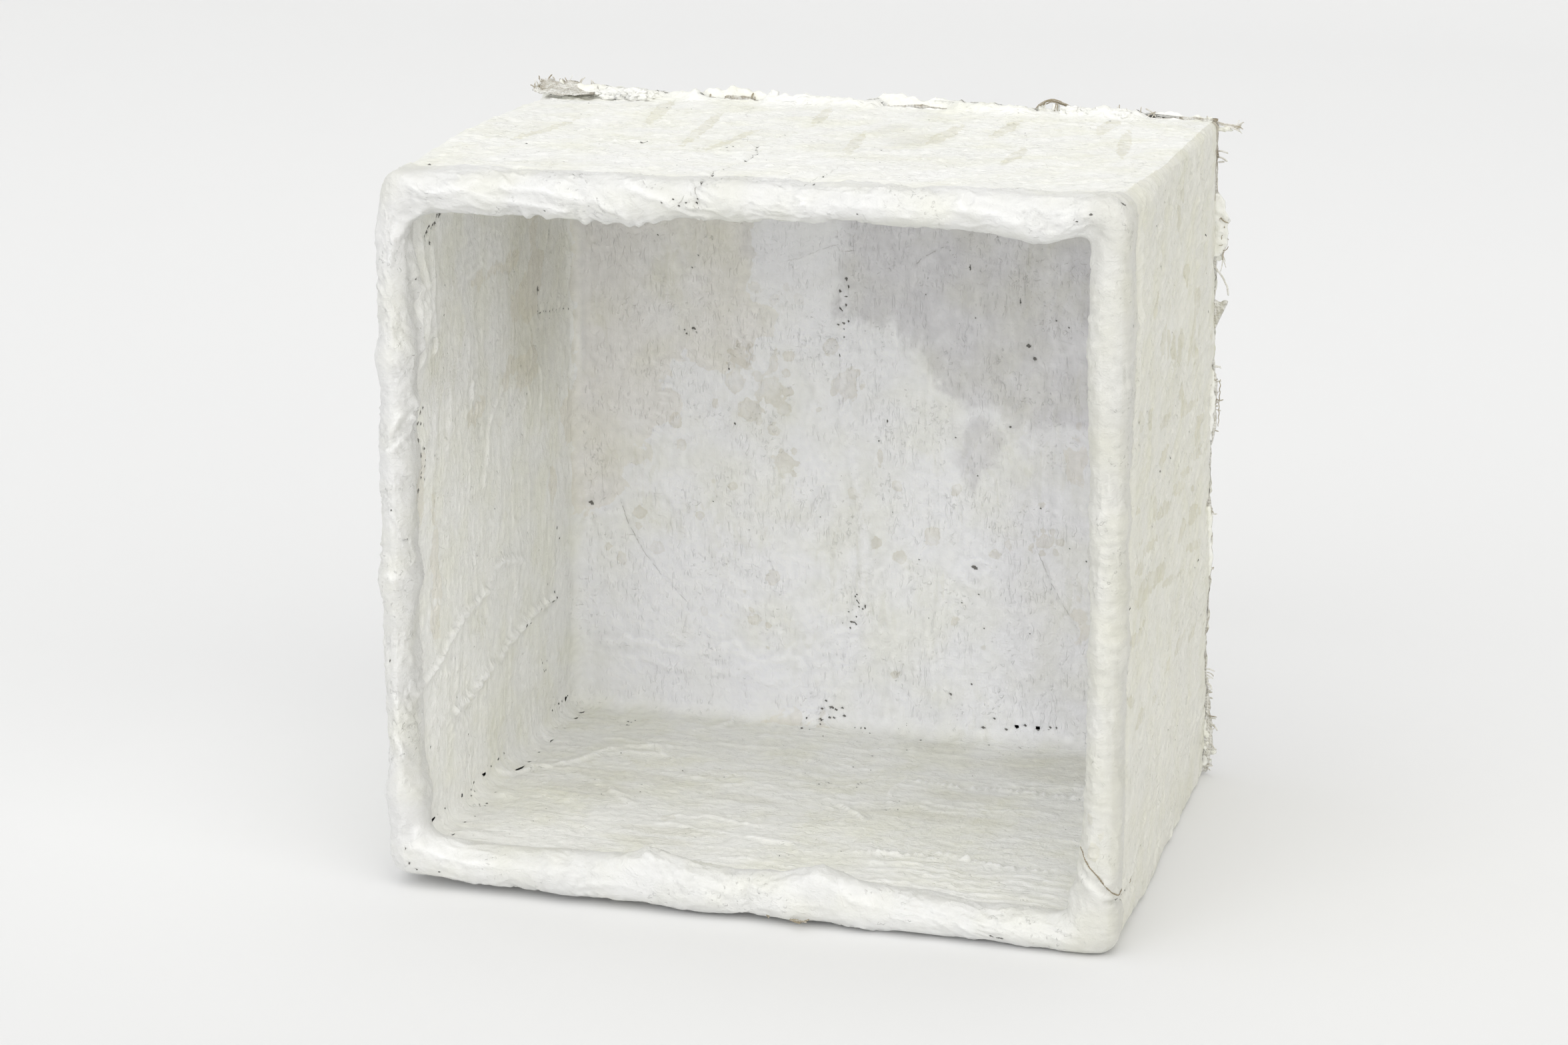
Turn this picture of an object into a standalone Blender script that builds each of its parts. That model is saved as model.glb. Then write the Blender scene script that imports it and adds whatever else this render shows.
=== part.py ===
"""Hand-laid plaster box mould on jute scrim, open at the front.

The box stands on its bottom wall with its mouth towards -Y. Each wall is a laminate: an outer plaster
coat, a sheet of scrim (open-weave jute) and an inner plaster coat. A thick plaster bead on a core of
rolled scrim runs round the mouth, and coves of plaster fill the inside corners. The back panel is laid
over the ends of the four walls, and its scrim stands ragged past the edges.

Frame: origin at the middle of the base, +X to the right of someone facing the mouth, +Y to the back,
+Z up. Metres.
"""
import math
import random

import bmesh
import bpy
from mathutils import Matrix

# Driving dimensions
WIDTH = 0.560
HEIGHT = 0.552
DEPTH = 0.436
COAT_OUT = 0.009           # outer plaster coat
SCRIM = 0.0015             # jute scrim soaked in plaster
COAT_IN = 0.008            # inner plaster coat
BEAD = 0.033               # rim bead, across
BEAD_DEEP = 0.034          # rim bead, from the mouth plane to its back
BEAD_ROUND = 0.014         # rounding of the bead's nose
CORE_RADIUS = 0.0067       # rolled scrim inside the bead
CORE_PLAY = 0.0003         # radial gap from the roll to its plaster
CORNER = 0.012             # rounded outer corners
COVE = 0.014               # leg of the plaster coves in the inside corners
GAP = 0.0003               # between any two touching pieces
YARN_RADIUS = 0.0008

# Where the pieces meet
WALL = COAT_OUT + SCRIM + COAT_IN + 2 * GAP
MOUTH_Y = -DEPTH / 2
WALL_FRONT = MOUTH_Y + BEAD_DEEP + GAP
WALL_BACK = DEPTH / 2 - COAT_OUT - SCRIM - 2 * GAP
BACK_FACE = WALL_BACK - COAT_IN          # inner face of the back panel
MITRE_GAP = GAP / math.sqrt(2)           # half the gap of a mitre, along the wall
TOP_SEAM_X = -0.036                      # where the two top rim pieces and top scrims meet
BOTTOM_SEAM_X = 0.005
BACK_SEAM_X = -0.012                     # overlap of the two widths of scrim in the back panel
CRACK_Z = 0.047                          # crack in the right rim: height at its outer side
CRACK_SLOPE = 0.70                       # and its rise per metre towards the inside
SIDES = ("left", "top", "right", "bottom")


def clear_scene():
    for obj in list(bpy.data.objects):
        bpy.data.objects.remove(obj, do_unlink=True)


def new_collection(name):
    made = bpy.data.collections.new(name)
    bpy.context.scene.collection.children.link(made)
    return made


def new_material(name, color, roughness):
    made = bpy.data.materials.new(name)
    made.use_nodes = True
    shader = made.node_tree.nodes["Principled BSDF"]
    shader.inputs["Base Color"].default_value = (*color, 1.0)
    shader.inputs["Roughness"].default_value = roughness
    shader.inputs["Metallic"].default_value = 0.0
    made.diffuse_color = (*color, 1.0)
    return made


clear_scene()
MOULD = new_collection("plaster_mold")
PLASTER_OUT = ("outer plaster", (0.86, 0.85, 0.79), 0.80)
PLASTER_IN = ("inner plaster", (0.80, 0.79, 0.74), 0.82)
PLASTER_RIM = ("rim plaster", (0.88, 0.88, 0.85), 0.70)
JUTE = ("jute", (0.48, 0.42, 0.31), 0.95)


def finish_object(name, data, look):
    """Link a named object that has a material of its own."""
    obj = bpy.data.objects.new(name, data)
    label, color, roughness = look
    obj.data.materials.append(new_material(f"{name} {label}", color, roughness))
    MOULD.objects.link(obj)
    return obj


def outline_curve(name, outlines, length):
    """A flat 2D curve of closed outlines, extruded to a length about its own plane."""
    curve = bpy.data.curves.new(name, "CURVE")
    curve.dimensions = "2D"
    curve.fill_mode = "BOTH"
    curve.extrude = length / 2
    for outline in outlines:
        spline = curve.splines.new("POLY")
        spline.points.add(len(outline) - 1)
        for point, (across, up) in zip(spline.points, outline):
            point.co = (across, up, 0.0, 1.0)
        spline.use_cyclic_u = True
    return curve


def arc(centre_x, centre_y, radius, start_deg, end_deg, steps):
    """Points of an arc, both ends included."""
    points = []
    for step in range(steps + 1):
        angle = math.radians(start_deg + (end_deg - start_deg) * step / steps)
        points.append((centre_x + radius * math.cos(angle), centre_y + radius * math.sin(angle)))
    return points


def plate(name, outline, y_low, y_high, look):
    """A slab whose outline lies in XZ, from y_low to y_high."""
    curve = outline_curve(name, [outline], y_high - y_low)
    obj = finish_object(name, curve, look)
    obj.location = (0.0, (y_low + y_high) / 2, 0.0)
    obj.rotation_euler = (math.pi / 2, 0.0, 0.0)
    return obj


# --- Walls -------------------------------------------------------------------------------------------

def half_length(side):
    return WIDTH / 2 if side in ("top", "bottom") else HEIGHT / 2


def wall_point(side, along, inset):
    """From a place along a wall and a depth inside its outer face to (x, z)."""
    places = {
        "bottom": (along, inset),
        "top": (along, HEIGHT - inset),
        "left": (-WIDTH / 2 + inset, HEIGHT / 2 + along),
        "right": (WIDTH / 2 - inset, HEIGHT / 2 + along),
    }
    return places[side]


def wall_outline(side, inset, thickness, radius):
    """A wall layer's mitred cross-section, with its outer corners rounded."""
    reach = half_length(side)
    if radius > 0:
        bend = arc(reach - radius, inset + radius, radius, -90, -45, 4)
    else:
        bend = [(reach - inset, inset)]
    outer = [(min(along, reach - depth - MITRE_GAP), depth) for along, depth in bend]
    inner_depth = inset + thickness
    half = outer + [(reach - inner_depth - MITRE_GAP, inner_depth)]
    mirrored = [(-along, depth) for along, depth in reversed(half)]
    return [wall_point(side, along, depth) for along, depth in half + mirrored]


def build_walls():
    scrim_inset = COAT_OUT + GAP
    inner_inset = scrim_inset + SCRIM + GAP
    for side in SIDES:
        outer = wall_outline(side, 0.0, COAT_OUT, CORNER)
        plate(f"{side}_outer_coat", outer, WALL_FRONT, WALL_BACK, PLASTER_OUT)
        inner = wall_outline(side, inner_inset, COAT_IN, 0.0)
        plate(f"{side}_inner_coat", inner, WALL_FRONT, WALL_BACK, PLASTER_IN)
        if side != "top":
            sheet = wall_outline(side, scrim_inset, SCRIM, 0.0)
            plate(f"{side}_scrim", sheet, WALL_FRONT, WALL_BACK, JUTE)
    build_top_scrims(scrim_inset)


def build_top_scrims(inset):
    """The top wall is laid with two widths of scrim that meet at the seam."""
    reach = WIDTH / 2
    upper = HEIGHT - inset
    lower = upper - SCRIM
    for name, sign in (("top_scrim_left", -1), ("top_scrim_right", 1)):
        outline = [
            (TOP_SEAM_X + sign * GAP / 2, upper),
            (sign * (reach - inset - MITRE_GAP), upper),
            (sign * (reach - inset - SCRIM - MITRE_GAP), lower),
            (TOP_SEAM_X + sign * GAP / 2, lower),
        ]
        plate(name, outline, WALL_FRONT, WALL_BACK, JUTE)


# --- Back panel --------------------------------------------------------------------------------------

def rounded_rectangle(x_low, x_high, z_low, z_high, radius):
    outline = []
    outline += arc(x_high - radius, z_low + radius, radius, -90, 0, 5)
    outline += arc(x_high - radius, z_high - radius, radius, 0, 90, 5)
    outline += arc(x_low + radius, z_high - radius, radius, 90, 180, 5)
    outline += arc(x_low + radius, z_low + radius, radius, 180, 270, 5)
    return outline


def ragged_edge(rng, length, step, proud, spread, tabs):
    """Places along an edge and how far the torn cloth stands past it. A tab is a longer flap."""
    count = int(length / step)
    points = []
    for index in range(1, count):
        along = index * length / count
        reach = proud + rng.uniform(-spread, spread)
        for low, high, flap in tabs:
            if low <= along <= high:
                reach = flap + rng.uniform(-spread, spread)
        points.append((along, reach))
    return points


def back_scrim(name, sign, proud, side_tabs, top_tabs, seed):
    """One width of scrim behind the walls, from the middle seam to a torn side edge."""
    rng = random.Random(seed)
    spread = 0.0015
    step = 0.014
    floor_clear = 0.001
    seam = BACK_SEAM_X + sign * GAP / 2
    edge = sign * WIDTH / 2
    outline = [(seam, floor_clear)]
    outline.append((edge + sign * proud, floor_clear))
    for height, reach in ragged_edge(rng, HEIGHT, step, proud, spread, side_tabs):
        outline.append((edge + sign * reach, height))
    outline.append((edge + sign * proud, HEIGHT + proud))
    width = abs(edge - seam)
    for along, reach in ragged_edge(rng, width, step, proud, spread, top_tabs):
        outline.append((edge - sign * along, HEIGHT + reach))
    outline.append((seam, HEIGHT + proud))
    plate(name, outline, WALL_BACK + GAP, WALL_BACK + GAP + SCRIM, JUTE)


def build_back_panel():
    inner_x = WIDTH / 2 - WALL - GAP
    inner_outline = [
        (-inner_x, WALL + GAP),
        (inner_x, WALL + GAP),
        (inner_x, HEIGHT - WALL - GAP),
        (-inner_x, HEIGHT - WALL - GAP),
    ]
    plate("back_inner_coat", inner_outline, BACK_FACE, WALL_BACK, PLASTER_IN)
    side_tabs = [(0.010, 0.085, 0.011), (0.285, 0.350, 0.009), (0.380, 0.406, 0.014), (0.440, 0.490, 0.017)]
    back_scrim("back_scrim_left", -1, 0.004, [], [(0.0, 0.050, 0.009)], 3)
    back_scrim("back_scrim_right", 1, 0.006, side_tabs, [(0.115, 0.150, 0.012)], 8)
    outer = rounded_rectangle(-WIDTH / 2, WIDTH / 2, 0.0, HEIGHT, CORNER)
    plate("back_outer_coat", outer, WALL_BACK + SCRIM + 2 * GAP, DEPTH / 2, PLASTER_OUT)


# --- Rim bead and its rolled scrim -------------------------------------------------------------------

def bead_section():
    """The bead across (from the outer side inwards) and deep (from the mouth plane back)."""
    outline = [(0.0, BEAD_DEEP)]
    outline += arc(BEAD_ROUND, BEAD_ROUND, BEAD_ROUND, 180, 270, 6)
    outline += arc(BEAD - BEAD_ROUND, BEAD_ROUND, BEAD_ROUND, -90, 0, 6)
    outline.append((BEAD, BEAD_DEEP))
    return outline


def core_section(radius):
    return arc(BEAD / 2, BEAD_DEEP / 2, radius, 0, 330, 11)


def side_matrix(side, y_front):
    """Maps (inset, depth, run) of a side to world: the run's zero is the middle of the side."""
    frames = {
        "bottom": ((0, 0, 1), (-1, 0, 0), (0.0, y_front, 0.0)),
        "top": ((0, 0, -1), (1, 0, 0), (0.0, y_front, HEIGHT)),
        "left": ((1, 0, 0), (0, 0, 1), (-WIDTH / 2, y_front, HEIGHT / 2)),
        "right": ((-1, 0, 0), (0, 0, -1), (WIDTH / 2, y_front, HEIGHT / 2)),
    }
    inward, run, place = frames[side]
    columns = Matrix((inward, (0, 1, 0), run)).transposed().to_4x4()
    columns.translation = place
    return columns


def run_piece(name, side, outlines, low, high, low_slope, high_slope, look, y_front=MOUTH_Y):
    """A section run along a side. Each end is cut on a slant of its slope per metre of inset."""
    curve = outline_curve(name + "_outline", outlines, high - low)
    guide = bpy.data.objects.new(name + "_guide", curve)
    bpy.context.scene.collection.objects.link(guide)
    depsgraph = bpy.context.evaluated_depsgraph_get()
    mesh = bpy.data.meshes.new_from_object(guide.evaluated_get(depsgraph))
    bpy.data.objects.remove(guide, do_unlink=True)
    bpy.data.curves.remove(curve)
    mesh.name = name
    solid = bmesh.new()
    solid.from_mesh(mesh)
    bmesh.ops.remove_doubles(solid, verts=solid.verts, dist=0.00001)
    for vertex in solid.verts:
        if vertex.co.z < 0:
            vertex.co.z = low + low_slope * vertex.co.x
        else:
            vertex.co.z = high - high_slope * vertex.co.x
    bmesh.ops.recalc_face_normals(solid, faces=solid.faces)
    solid.to_mesh(mesh)
    solid.free()
    obj = finish_object(name, mesh, look)
    obj.matrix_world = side_matrix(side, y_front)
    return obj


def build_rim():
    bead = [bead_section(), core_section(CORE_RADIUS + CORE_PLAY)]
    wide = WIDTH / 2 - MITRE_GAP
    tall = HEIGHT / 2 - MITRE_GAP
    seam = GAP / 2
    run_piece("rim_bead_left", "left", bead, -tall, tall, 1, 1, PLASTER_RIM)
    run_piece("rim_bead_top_left", "top", bead, -wide, TOP_SEAM_X - seam, 1, 0, PLASTER_RIM)
    run_piece("rim_bead_top_right", "top", bead, TOP_SEAM_X + seam, wide, 0, 1, PLASTER_RIM)
    crack = HEIGHT / 2 - CRACK_Z
    run_piece("rim_bead_right", "right", bead, -tall, crack - GAP, 1, CRACK_SLOPE, PLASTER_RIM)
    run_piece("rim_bead_right_foot", "right", bead, crack, tall, -CRACK_SLOPE, 1, PLASTER_RIM)
    run_piece("rim_bead_bottom_right", "bottom", bead, -wide, -BOTTOM_SEAM_X - seam, 1, 0, PLASTER_RIM)
    run_piece("rim_bead_bottom_left", "bottom", bead, -BOTTOM_SEAM_X + seam, wide, 0, 1, PLASTER_RIM)
    core = [core_section(CORE_RADIUS)]
    for side in SIDES:
        reach = half_length(side) - MITRE_GAP
        run_piece(f"rim_roll_{side}", side, core, -reach, reach, 1, 1, JUTE)


# --- Coves -------------------------------------------------------------------------------------------

def cove_section(sign_x, sign_y):
    """A corner fill with a hollow face, in the quarter that the signs name."""
    points = [(0.0, 0.0)] + arc(COVE, COVE, COVE, -90, -180, 6)
    return [(sign_x * across, sign_y * up) for across, up in points]


def build_coves():
    corner_x = WIDTH / 2 - WALL - GAP
    corner_low = WALL + GAP
    corner_high = HEIGHT - WALL - GAP
    for name, sign_x, sign_z in (("bottom_left", 1, 1), ("bottom_right", -1, 1),
                                 ("top_left", 1, -1), ("top_right", -1, -1)):
        base_z = corner_low if sign_z > 0 else corner_high
        section = cove_section(sign_x, sign_z)
        outline = [(-sign_x * corner_x + across, base_z + up) for across, up in section]
        plate(f"cove_{name}", outline, WALL_FRONT, BACK_FACE - GAP, PLASTER_IN)
    inset = WALL + GAP
    section = [(inset + across, -up) for across, up in cove_section(1, 1)]
    for side in SIDES:
        reach = half_length(side) - WALL - COVE - 2 * GAP
        run_piece(f"cove_back_{side}", side, [section], -reach, reach, 0, 0, PLASTER_IN, BACK_FACE - GAP)


# --- Loose cloth, crumbs and yarns -------------------------------------------------------------------

def yarn(name, route):
    """A loose yarn of jute through a few points."""
    curve = bpy.data.curves.new(name, "CURVE")
    curve.dimensions = "3D"
    curve.bevel_depth = YARN_RADIUS
    curve.bevel_resolution = 2
    curve.use_fill_caps = True
    spline = curve.splines.new("POLY")
    spline.points.add(len(route) - 1)
    for point, place in zip(spline.points, route):
        point.co = (*place, 1.0)
    return finish_object(name, curve, JUTE)


def crack_route():
    """Round the nose of the right bead along its crack, then back along the right wall."""
    off = YARN_RADIUS + GAP
    nose = arc(BEAD - BEAD_ROUND, BEAD_ROUND, BEAD_ROUND + off, -20, -90, 5)
    nose += arc(BEAD_ROUND, BEAD_ROUND, BEAD_ROUND + off, -90, -180, 6)
    route = []
    for inset, deep in nose:
        route.append((WIDTH / 2 - inset, MOUTH_Y + deep, CRACK_Z + CRACK_SLOPE * inset))
    last_x, _, last_z = route[-1]
    route.append((last_x, MOUTH_Y + 0.050, last_z - 0.004))
    route.append((last_x, MOUTH_Y + 0.090, last_z - 0.002))
    route.append((last_x, MOUTH_Y + 0.130, last_z - 0.001))
    return route


def block(name, low, high, bevel, look):
    """A small rounded lump between two corners."""
    mesh = bpy.data.meshes.new(name)
    solid = bmesh.new()
    bmesh.ops.create_cube(solid, size=1.0)
    for vertex in solid.verts:
        for axis in range(3):
            middle = (low[axis] + high[axis]) / 2
            vertex.co[axis] = middle + vertex.co[axis] * (high[axis] - low[axis])
    solid.to_mesh(mesh)
    solid.free()
    obj = finish_object(name, mesh, look)
    rounding = obj.modifiers.new("rounded edges", "BEVEL")
    rounding.width = bevel
    rounding.segments = 2
    return obj


def build_loose_bits():
    top = HEIGHT + GAP
    edge = WALL_BACK - GAP
    block("scrim_rag_top_left", (-0.279, edge - 0.034, top), (-0.236, edge, top + 0.004), 0.001, JUTE)
    block("top_back_lump_left", (-0.234, edge - 0.026, top), (-0.188, edge, top + 0.006), 0.002, PLASTER_OUT)
    block("top_back_lump_right", (0.158, edge - 0.014, top), (0.214, edge, top + 0.005), 0.002, PLASTER_OUT)
    yarn("crack_yarn", crack_route())
    front = MOUTH_Y - GAP - YARN_RADIUS
    low = 0.0012
    yarn("loose_yarn_front", [(0.037, front, 0.0042), (0.043, front - 0.002, 0.0030),
                              (0.049, front - 0.005, low + 0.0006), (0.055, front - 0.007, low)])


build_walls()
build_back_panel()
build_rim()
build_coves()
build_loose_bits()
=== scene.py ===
"""Looks of the plaster box mould: hand-laid plaster skins, torn jute scrim, yarns, floor, light and camera.

The skin of the box is one continuous surface. A profile (outer wall, rim bead, inner wall, back cove)
runs round the rounded rectangle of the walls, and two panels close it at the back. Relief and marks are
laid on that surface as fields, in millimetres, and it is then cut into one closed solid for each piece.
"""
import math
from functools import partial

import bmesh
import bpy
import numpy as np
from mathutils import Matrix, Vector


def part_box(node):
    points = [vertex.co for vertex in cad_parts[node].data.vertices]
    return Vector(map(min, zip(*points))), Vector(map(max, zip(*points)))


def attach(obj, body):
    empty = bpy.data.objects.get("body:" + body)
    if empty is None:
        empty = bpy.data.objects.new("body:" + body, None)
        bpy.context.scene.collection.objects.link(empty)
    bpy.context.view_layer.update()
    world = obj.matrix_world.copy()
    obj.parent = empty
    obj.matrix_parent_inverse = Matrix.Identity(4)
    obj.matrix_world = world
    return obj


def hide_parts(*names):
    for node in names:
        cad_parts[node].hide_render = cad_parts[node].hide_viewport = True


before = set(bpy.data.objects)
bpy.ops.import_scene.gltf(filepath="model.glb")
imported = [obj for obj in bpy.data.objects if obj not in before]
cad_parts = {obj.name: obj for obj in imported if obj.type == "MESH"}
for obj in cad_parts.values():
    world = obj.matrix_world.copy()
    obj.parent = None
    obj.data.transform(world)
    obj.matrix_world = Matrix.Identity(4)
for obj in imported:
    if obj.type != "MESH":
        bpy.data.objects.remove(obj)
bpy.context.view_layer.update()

# --- Sizes read from the frame, in millimetres -------------------------------------------------------
MM = 1000.0


def cad_mm(name):
    """The low and the high corner of a CAD node."""
    return [np.array(corner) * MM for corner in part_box(name)]


slab_low, slab_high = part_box("back_outer_coat")
mouth_low, mouth_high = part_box("rim_bead_left")
inner_low, inner_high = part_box("left_inner_coat")
panel_low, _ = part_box("back_inner_coat")
coat_low, coat_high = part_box("left_outer_coat")
HALF_X = slab_high.x * MM
TALL = slab_high.z * MM
HALF_Z = TALL / 2
BACK_Y = slab_high.y * MM
SLAB_Y = slab_low.y * MM                       # front of the back slab
MOUTH_Y = mouth_low.y * MM
WALL_FRONT = coat_low.y * MM                   # where the bead ends and the walls begin
WALL_BACK = coat_high.y * MM
WALL = (inner_high.x - coat_low.x) * MM        # whole wall, all layers
BEAD = (mouth_high.x - mouth_low.x) * MM
PANEL_Y = panel_low.y * MM                     # inner face of the back panel
COAT_OUT = (coat_high.x - coat_low.x) * MM
COAT_IN = (inner_high.x - inner_low.x) * MM
COVE = 14.0

OUTER_ROUND = 17.0                             # corners of the bead seen from the front
WALL_ROUND = 6.0                               # the long edges of the box behind the bead
MOUTH_ROUND = 12.0                             # inner corners of the mouth
NOSE = 15.5                                    # rounding of the bead's nose
SLAB_ROUND = 8.0                               # back edges of the slab
SLAB_INSET = 30.0                              # where the back face's own grid starts
BEAD_FALL = 40.0                               # the bead's slope, inside, down to the wall

CRACK_Z = 47.0                                 # of the crack at the outer face of the right bead
CRACK_SLOPE = 0.4                              # its rise towards the inside
WEAVE = 2.8                                    # between the threads that print through the plaster
JUTE_WEAVE = 2.6                               # between those of the bare cloth

PITCH = 2.0                  # of the grid
CORNER_COLUMNS = 8
SIDES = ("bottom", "right", "top", "left")     # in the order of the loop

rng = np.random.default_rng(41)


# --- Noise -------------------------------------------------------------------------------------------
ORDER = rng.permutation(256).astype(np.int64)
_spin = rng.normal(size=(256, 3))
GRADIENTS = (_spin / np.linalg.norm(_spin, axis=1)[:, None]).astype(np.float32)


def noise(points, size, seed=0):
    """Smooth gradient noise from about -1 to 1. Size is one length or one for each axis."""
    spots = np.asarray(points, float) / np.asarray(size, float) + seed * 7.31
    cell = np.floor(spots).astype(np.int64)
    part = (spots - cell).astype(np.float32)
    fade = part * part * part * (part * (part * 6 - 15) + 10)
    total = np.zeros(len(spots), np.float32)
    for i in (0, 1):
        row = ORDER[(cell[:, 0] + i + seed * 13) & 255]
        for j in (0, 1):
            column = ORDER[(row + cell[:, 1] + j) & 255]
            for k in (0, 1):
                slope = GRADIENTS[ORDER[(column + cell[:, 2] + k) & 255]]
                away = part - np.array((i, j, k), np.float32)
                share = 1.0
                for axis, far in enumerate((i, j, k)):
                    share = share * (fade[:, axis] if far else 1 - fade[:, axis])
                total += share * np.einsum("ij,ij->i", away, slope)
    return total * 1.7


def noise_at(place, size, seed):
    return float(noise(np.array([place], float), size, seed)[0])


def layered(points, size, octaves, seed=0):
    """Several octaves of noise."""
    total = 0.0
    share = 1.0
    size = np.asarray(size, float)
    for octave in range(octaves):
        total = total + share * noise(points, size, seed + octave * 3)
        size = size / 2.03
        share *= 0.5
    return total


def ramp(value, low, high):
    """Smooth step from 0 at low to 1 at high."""
    share = np.clip((value - low) / (high - low), 0, 1)
    return share * share * (3 - 2 * share)


# --- The profile and the surface ---------------------------------------------------------------------

def spaced(length, pitch):
    return max(2, int(round(length / pitch)))


def build_profile():
    """Rows of the surface from the back face, along the outer wall, over the bead and in to the back.

    Each row has its inset from the outer face, its y, the radius of its corners and its part's name."""
    rows = []

    def add(inset, y, radius, part):
        rows.append((inset, y, radius, part))

    def outer_radius(inset):
        return WALL_ROUND * (1 - inset / SLAB_INSET)

    for inset in np.linspace(SLAB_INSET, SLAB_ROUND, spaced(22, PITCH * 1.4)):
        add(inset, BACK_Y, outer_radius(inset), "slab")
    for turn in np.linspace(0, 1, spaced(12, PITCH))[1:]:
        angle = turn * math.pi / 2
        inset = SLAB_ROUND * (1 - math.sin(angle))
        add(inset, BACK_Y - SLAB_ROUND * (1 - math.cos(angle)), outer_radius(inset), "slab")
    add(0.0, SLAB_Y + 0.3, WALL_ROUND, "slab")
    for y in np.linspace(WALL_BACK, WALL_FRONT, spaced(WALL_BACK - WALL_FRONT, PITCH * 1.2)):
        add(0.0, y, WALL_ROUND + (OUTER_ROUND - WALL_ROUND) * float(1 - ramp(y, WALL_FRONT, -60)), "coat")
    nose_y = MOUTH_Y + NOSE
    fine = PITCH * 0.72
    for y in np.linspace(WALL_FRONT, nose_y, spaced(WALL_FRONT - nose_y, fine))[1:]:
        add(0.0, y, OUTER_ROUND, "bead")
    for turn in np.linspace(0, 1, spaced(NOSE * 1.57, fine))[1:]:
        angle = turn * math.pi / 2
        inset = NOSE * (1 - math.cos(angle))
        add(inset, nose_y - NOSE * math.sin(angle), OUTER_ROUND, "bead")
    for turn in np.linspace(0, 1, spaced(NOSE * 1.57, fine))[1:]:
        angle = turn * math.pi / 2
        inset = BEAD - NOSE + NOSE * math.sin(angle)
        radius = OUTER_ROUND + (MOUTH_ROUND - OUTER_ROUND) * inset / BEAD
        add(inset, nose_y - NOSE * math.cos(angle), radius, "bead")
    for turn in np.linspace(0, 1, spaced(BEAD_FALL, fine))[1:]:
        y = nose_y + BEAD_FALL * turn
        drop = float(ramp(turn, 0, 1))
        inset = BEAD + (WALL - BEAD) * drop
        radius = MOUTH_ROUND + (COVE - MOUTH_ROUND) * drop
        add(inset, y, radius, "bead" if y <= WALL_FRONT else "inner")
    cove_y = PANEL_Y - COVE
    start = nose_y + BEAD_FALL
    for y in np.linspace(start, cove_y, spaced(cove_y - start, PITCH))[1:]:
        add(WALL, y, COVE, "inner")
    for turn in np.linspace(0, 1, spaced(COVE * 1.57, PITCH))[1:]:
        angle = turn * math.pi / 2
        radius = 0.0 if turn == 1 else COVE * math.cos(angle)
        add(WALL + COVE * (1 - math.cos(angle)), cove_y + COVE * math.sin(angle), radius, "cove")
    return rows


ROWS = build_profile()
PART = [row[3] for row in ROWS]
INSET = np.array([row[0] for row in ROWS])
ROW_Y = np.array([row[1] for row in ROWS])
ROW_RADIUS = np.array([row[2] for row in ROWS])
STRAIGHT_COLUMNS = spaced(2 * HALF_X, PITCH)
SIDE_COLUMNS = STRAIGHT_COLUMNS + 2 * CORNER_COLUMNS


def row_normals():
    """Share of each row's normal that points outwards, and its y."""
    d_inset = np.gradient(INSET)
    d_y = np.gradient(ROW_Y)
    length = np.hypot(d_inset, d_y)
    length[length < 1e-9] = 1.0
    return -d_y / length, -d_inset / length


def side_place(side, along, inset, lean_along, lean_out):
    """World x, z and the outward normal's x, z, for places along a side given in its own terms."""
    if side == "bottom":
        return along, inset, lean_along, -lean_out
    if side == "right":
        return HALF_X - inset, HALF_Z + along, lean_out, lean_along
    if side == "top":
        return -along, TALL - inset, -lean_along, lean_out
    return -HALF_X + inset, HALF_Z - along, -lean_out, -lean_along


def crack_lean(z, inset, y):
    """How far the right side's columns lean over, so that one of them follows the crack in its bead."""
    window = ramp(z, 18, 44) * (1 - ramp(z, 80, 150))
    return CRACK_SLOPE * inset * window * (1 - float(ramp(y, -60, 60)))


def build_ring():
    """Base points and normals of the surface that runs round the box, rows by columns."""
    out_share, y_share = row_normals()
    points = np.zeros((len(ROWS), 4 * SIDE_COLUMNS, 3))
    normals = np.zeros_like(points)
    corner = np.linspace(math.pi / 4, 0, CORNER_COLUMNS + 1)[:-1]
    for index, side in enumerate(SIDES):
        half = HALF_X if side in ("bottom", "top") else HALF_Z
        for r in range(len(ROWS)):
            inset, radius = INSET[r], ROW_RADIUS[r]
            reach = half - inset - radius
            bend_along = -reach - radius * np.sin(corner)
            bend_in = inset + radius * (1 - np.cos(corner))
            straight = np.linspace(-reach, reach, STRAIGHT_COLUMNS + 1)
            along = np.concatenate([bend_along, straight, -bend_along[::-1][:-1]])
            inward = np.concatenate([bend_in, np.full(len(straight), inset), bend_in[::-1][:-1]])
            lean = np.concatenate([-np.sin(corner), np.zeros(len(straight)), np.sin(corner)[::-1][:-1]])
            rise = np.concatenate([np.cos(corner), np.ones(len(straight)), np.cos(corner)[::-1][:-1]])
            if side == "right":
                along = along + crack_lean(along + HALF_Z, inset, ROW_Y[r])
            x, z, nx, nz = side_place(side, along, inward, lean, rise)
            block = slice(index * SIDE_COLUMNS, (index + 1) * SIDE_COLUMNS)
            points[r, block] = np.stack([x, np.full(len(x), ROW_Y[r]), z], -1)
            wide = np.full(len(x), y_share[r])
            normals[r, block] = np.stack([nx * out_share[r], wide, nz * out_share[r]], -1)
    return points, normals


def build_panel(row, facing):
    """The grid that closes the ring at one of its end rows. It shares that row's points."""
    reach_x = HALF_X - INSET[row]
    reach_z = HALF_Z - INSET[row]
    xs = np.linspace(-reach_x, reach_x, STRAIGHT_COLUMNS + 1)
    zs = HALF_Z + np.linspace(-reach_z, reach_z, STRAIGHT_COLUMNS + 1)
    grid_x, grid_z = np.meshgrid(xs, zs)
    points = np.stack([grid_x, np.full_like(grid_x, ROW_Y[row]), grid_z], -1)
    normals = np.zeros_like(points)
    normals[..., 1] = facing
    return points, normals


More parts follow.
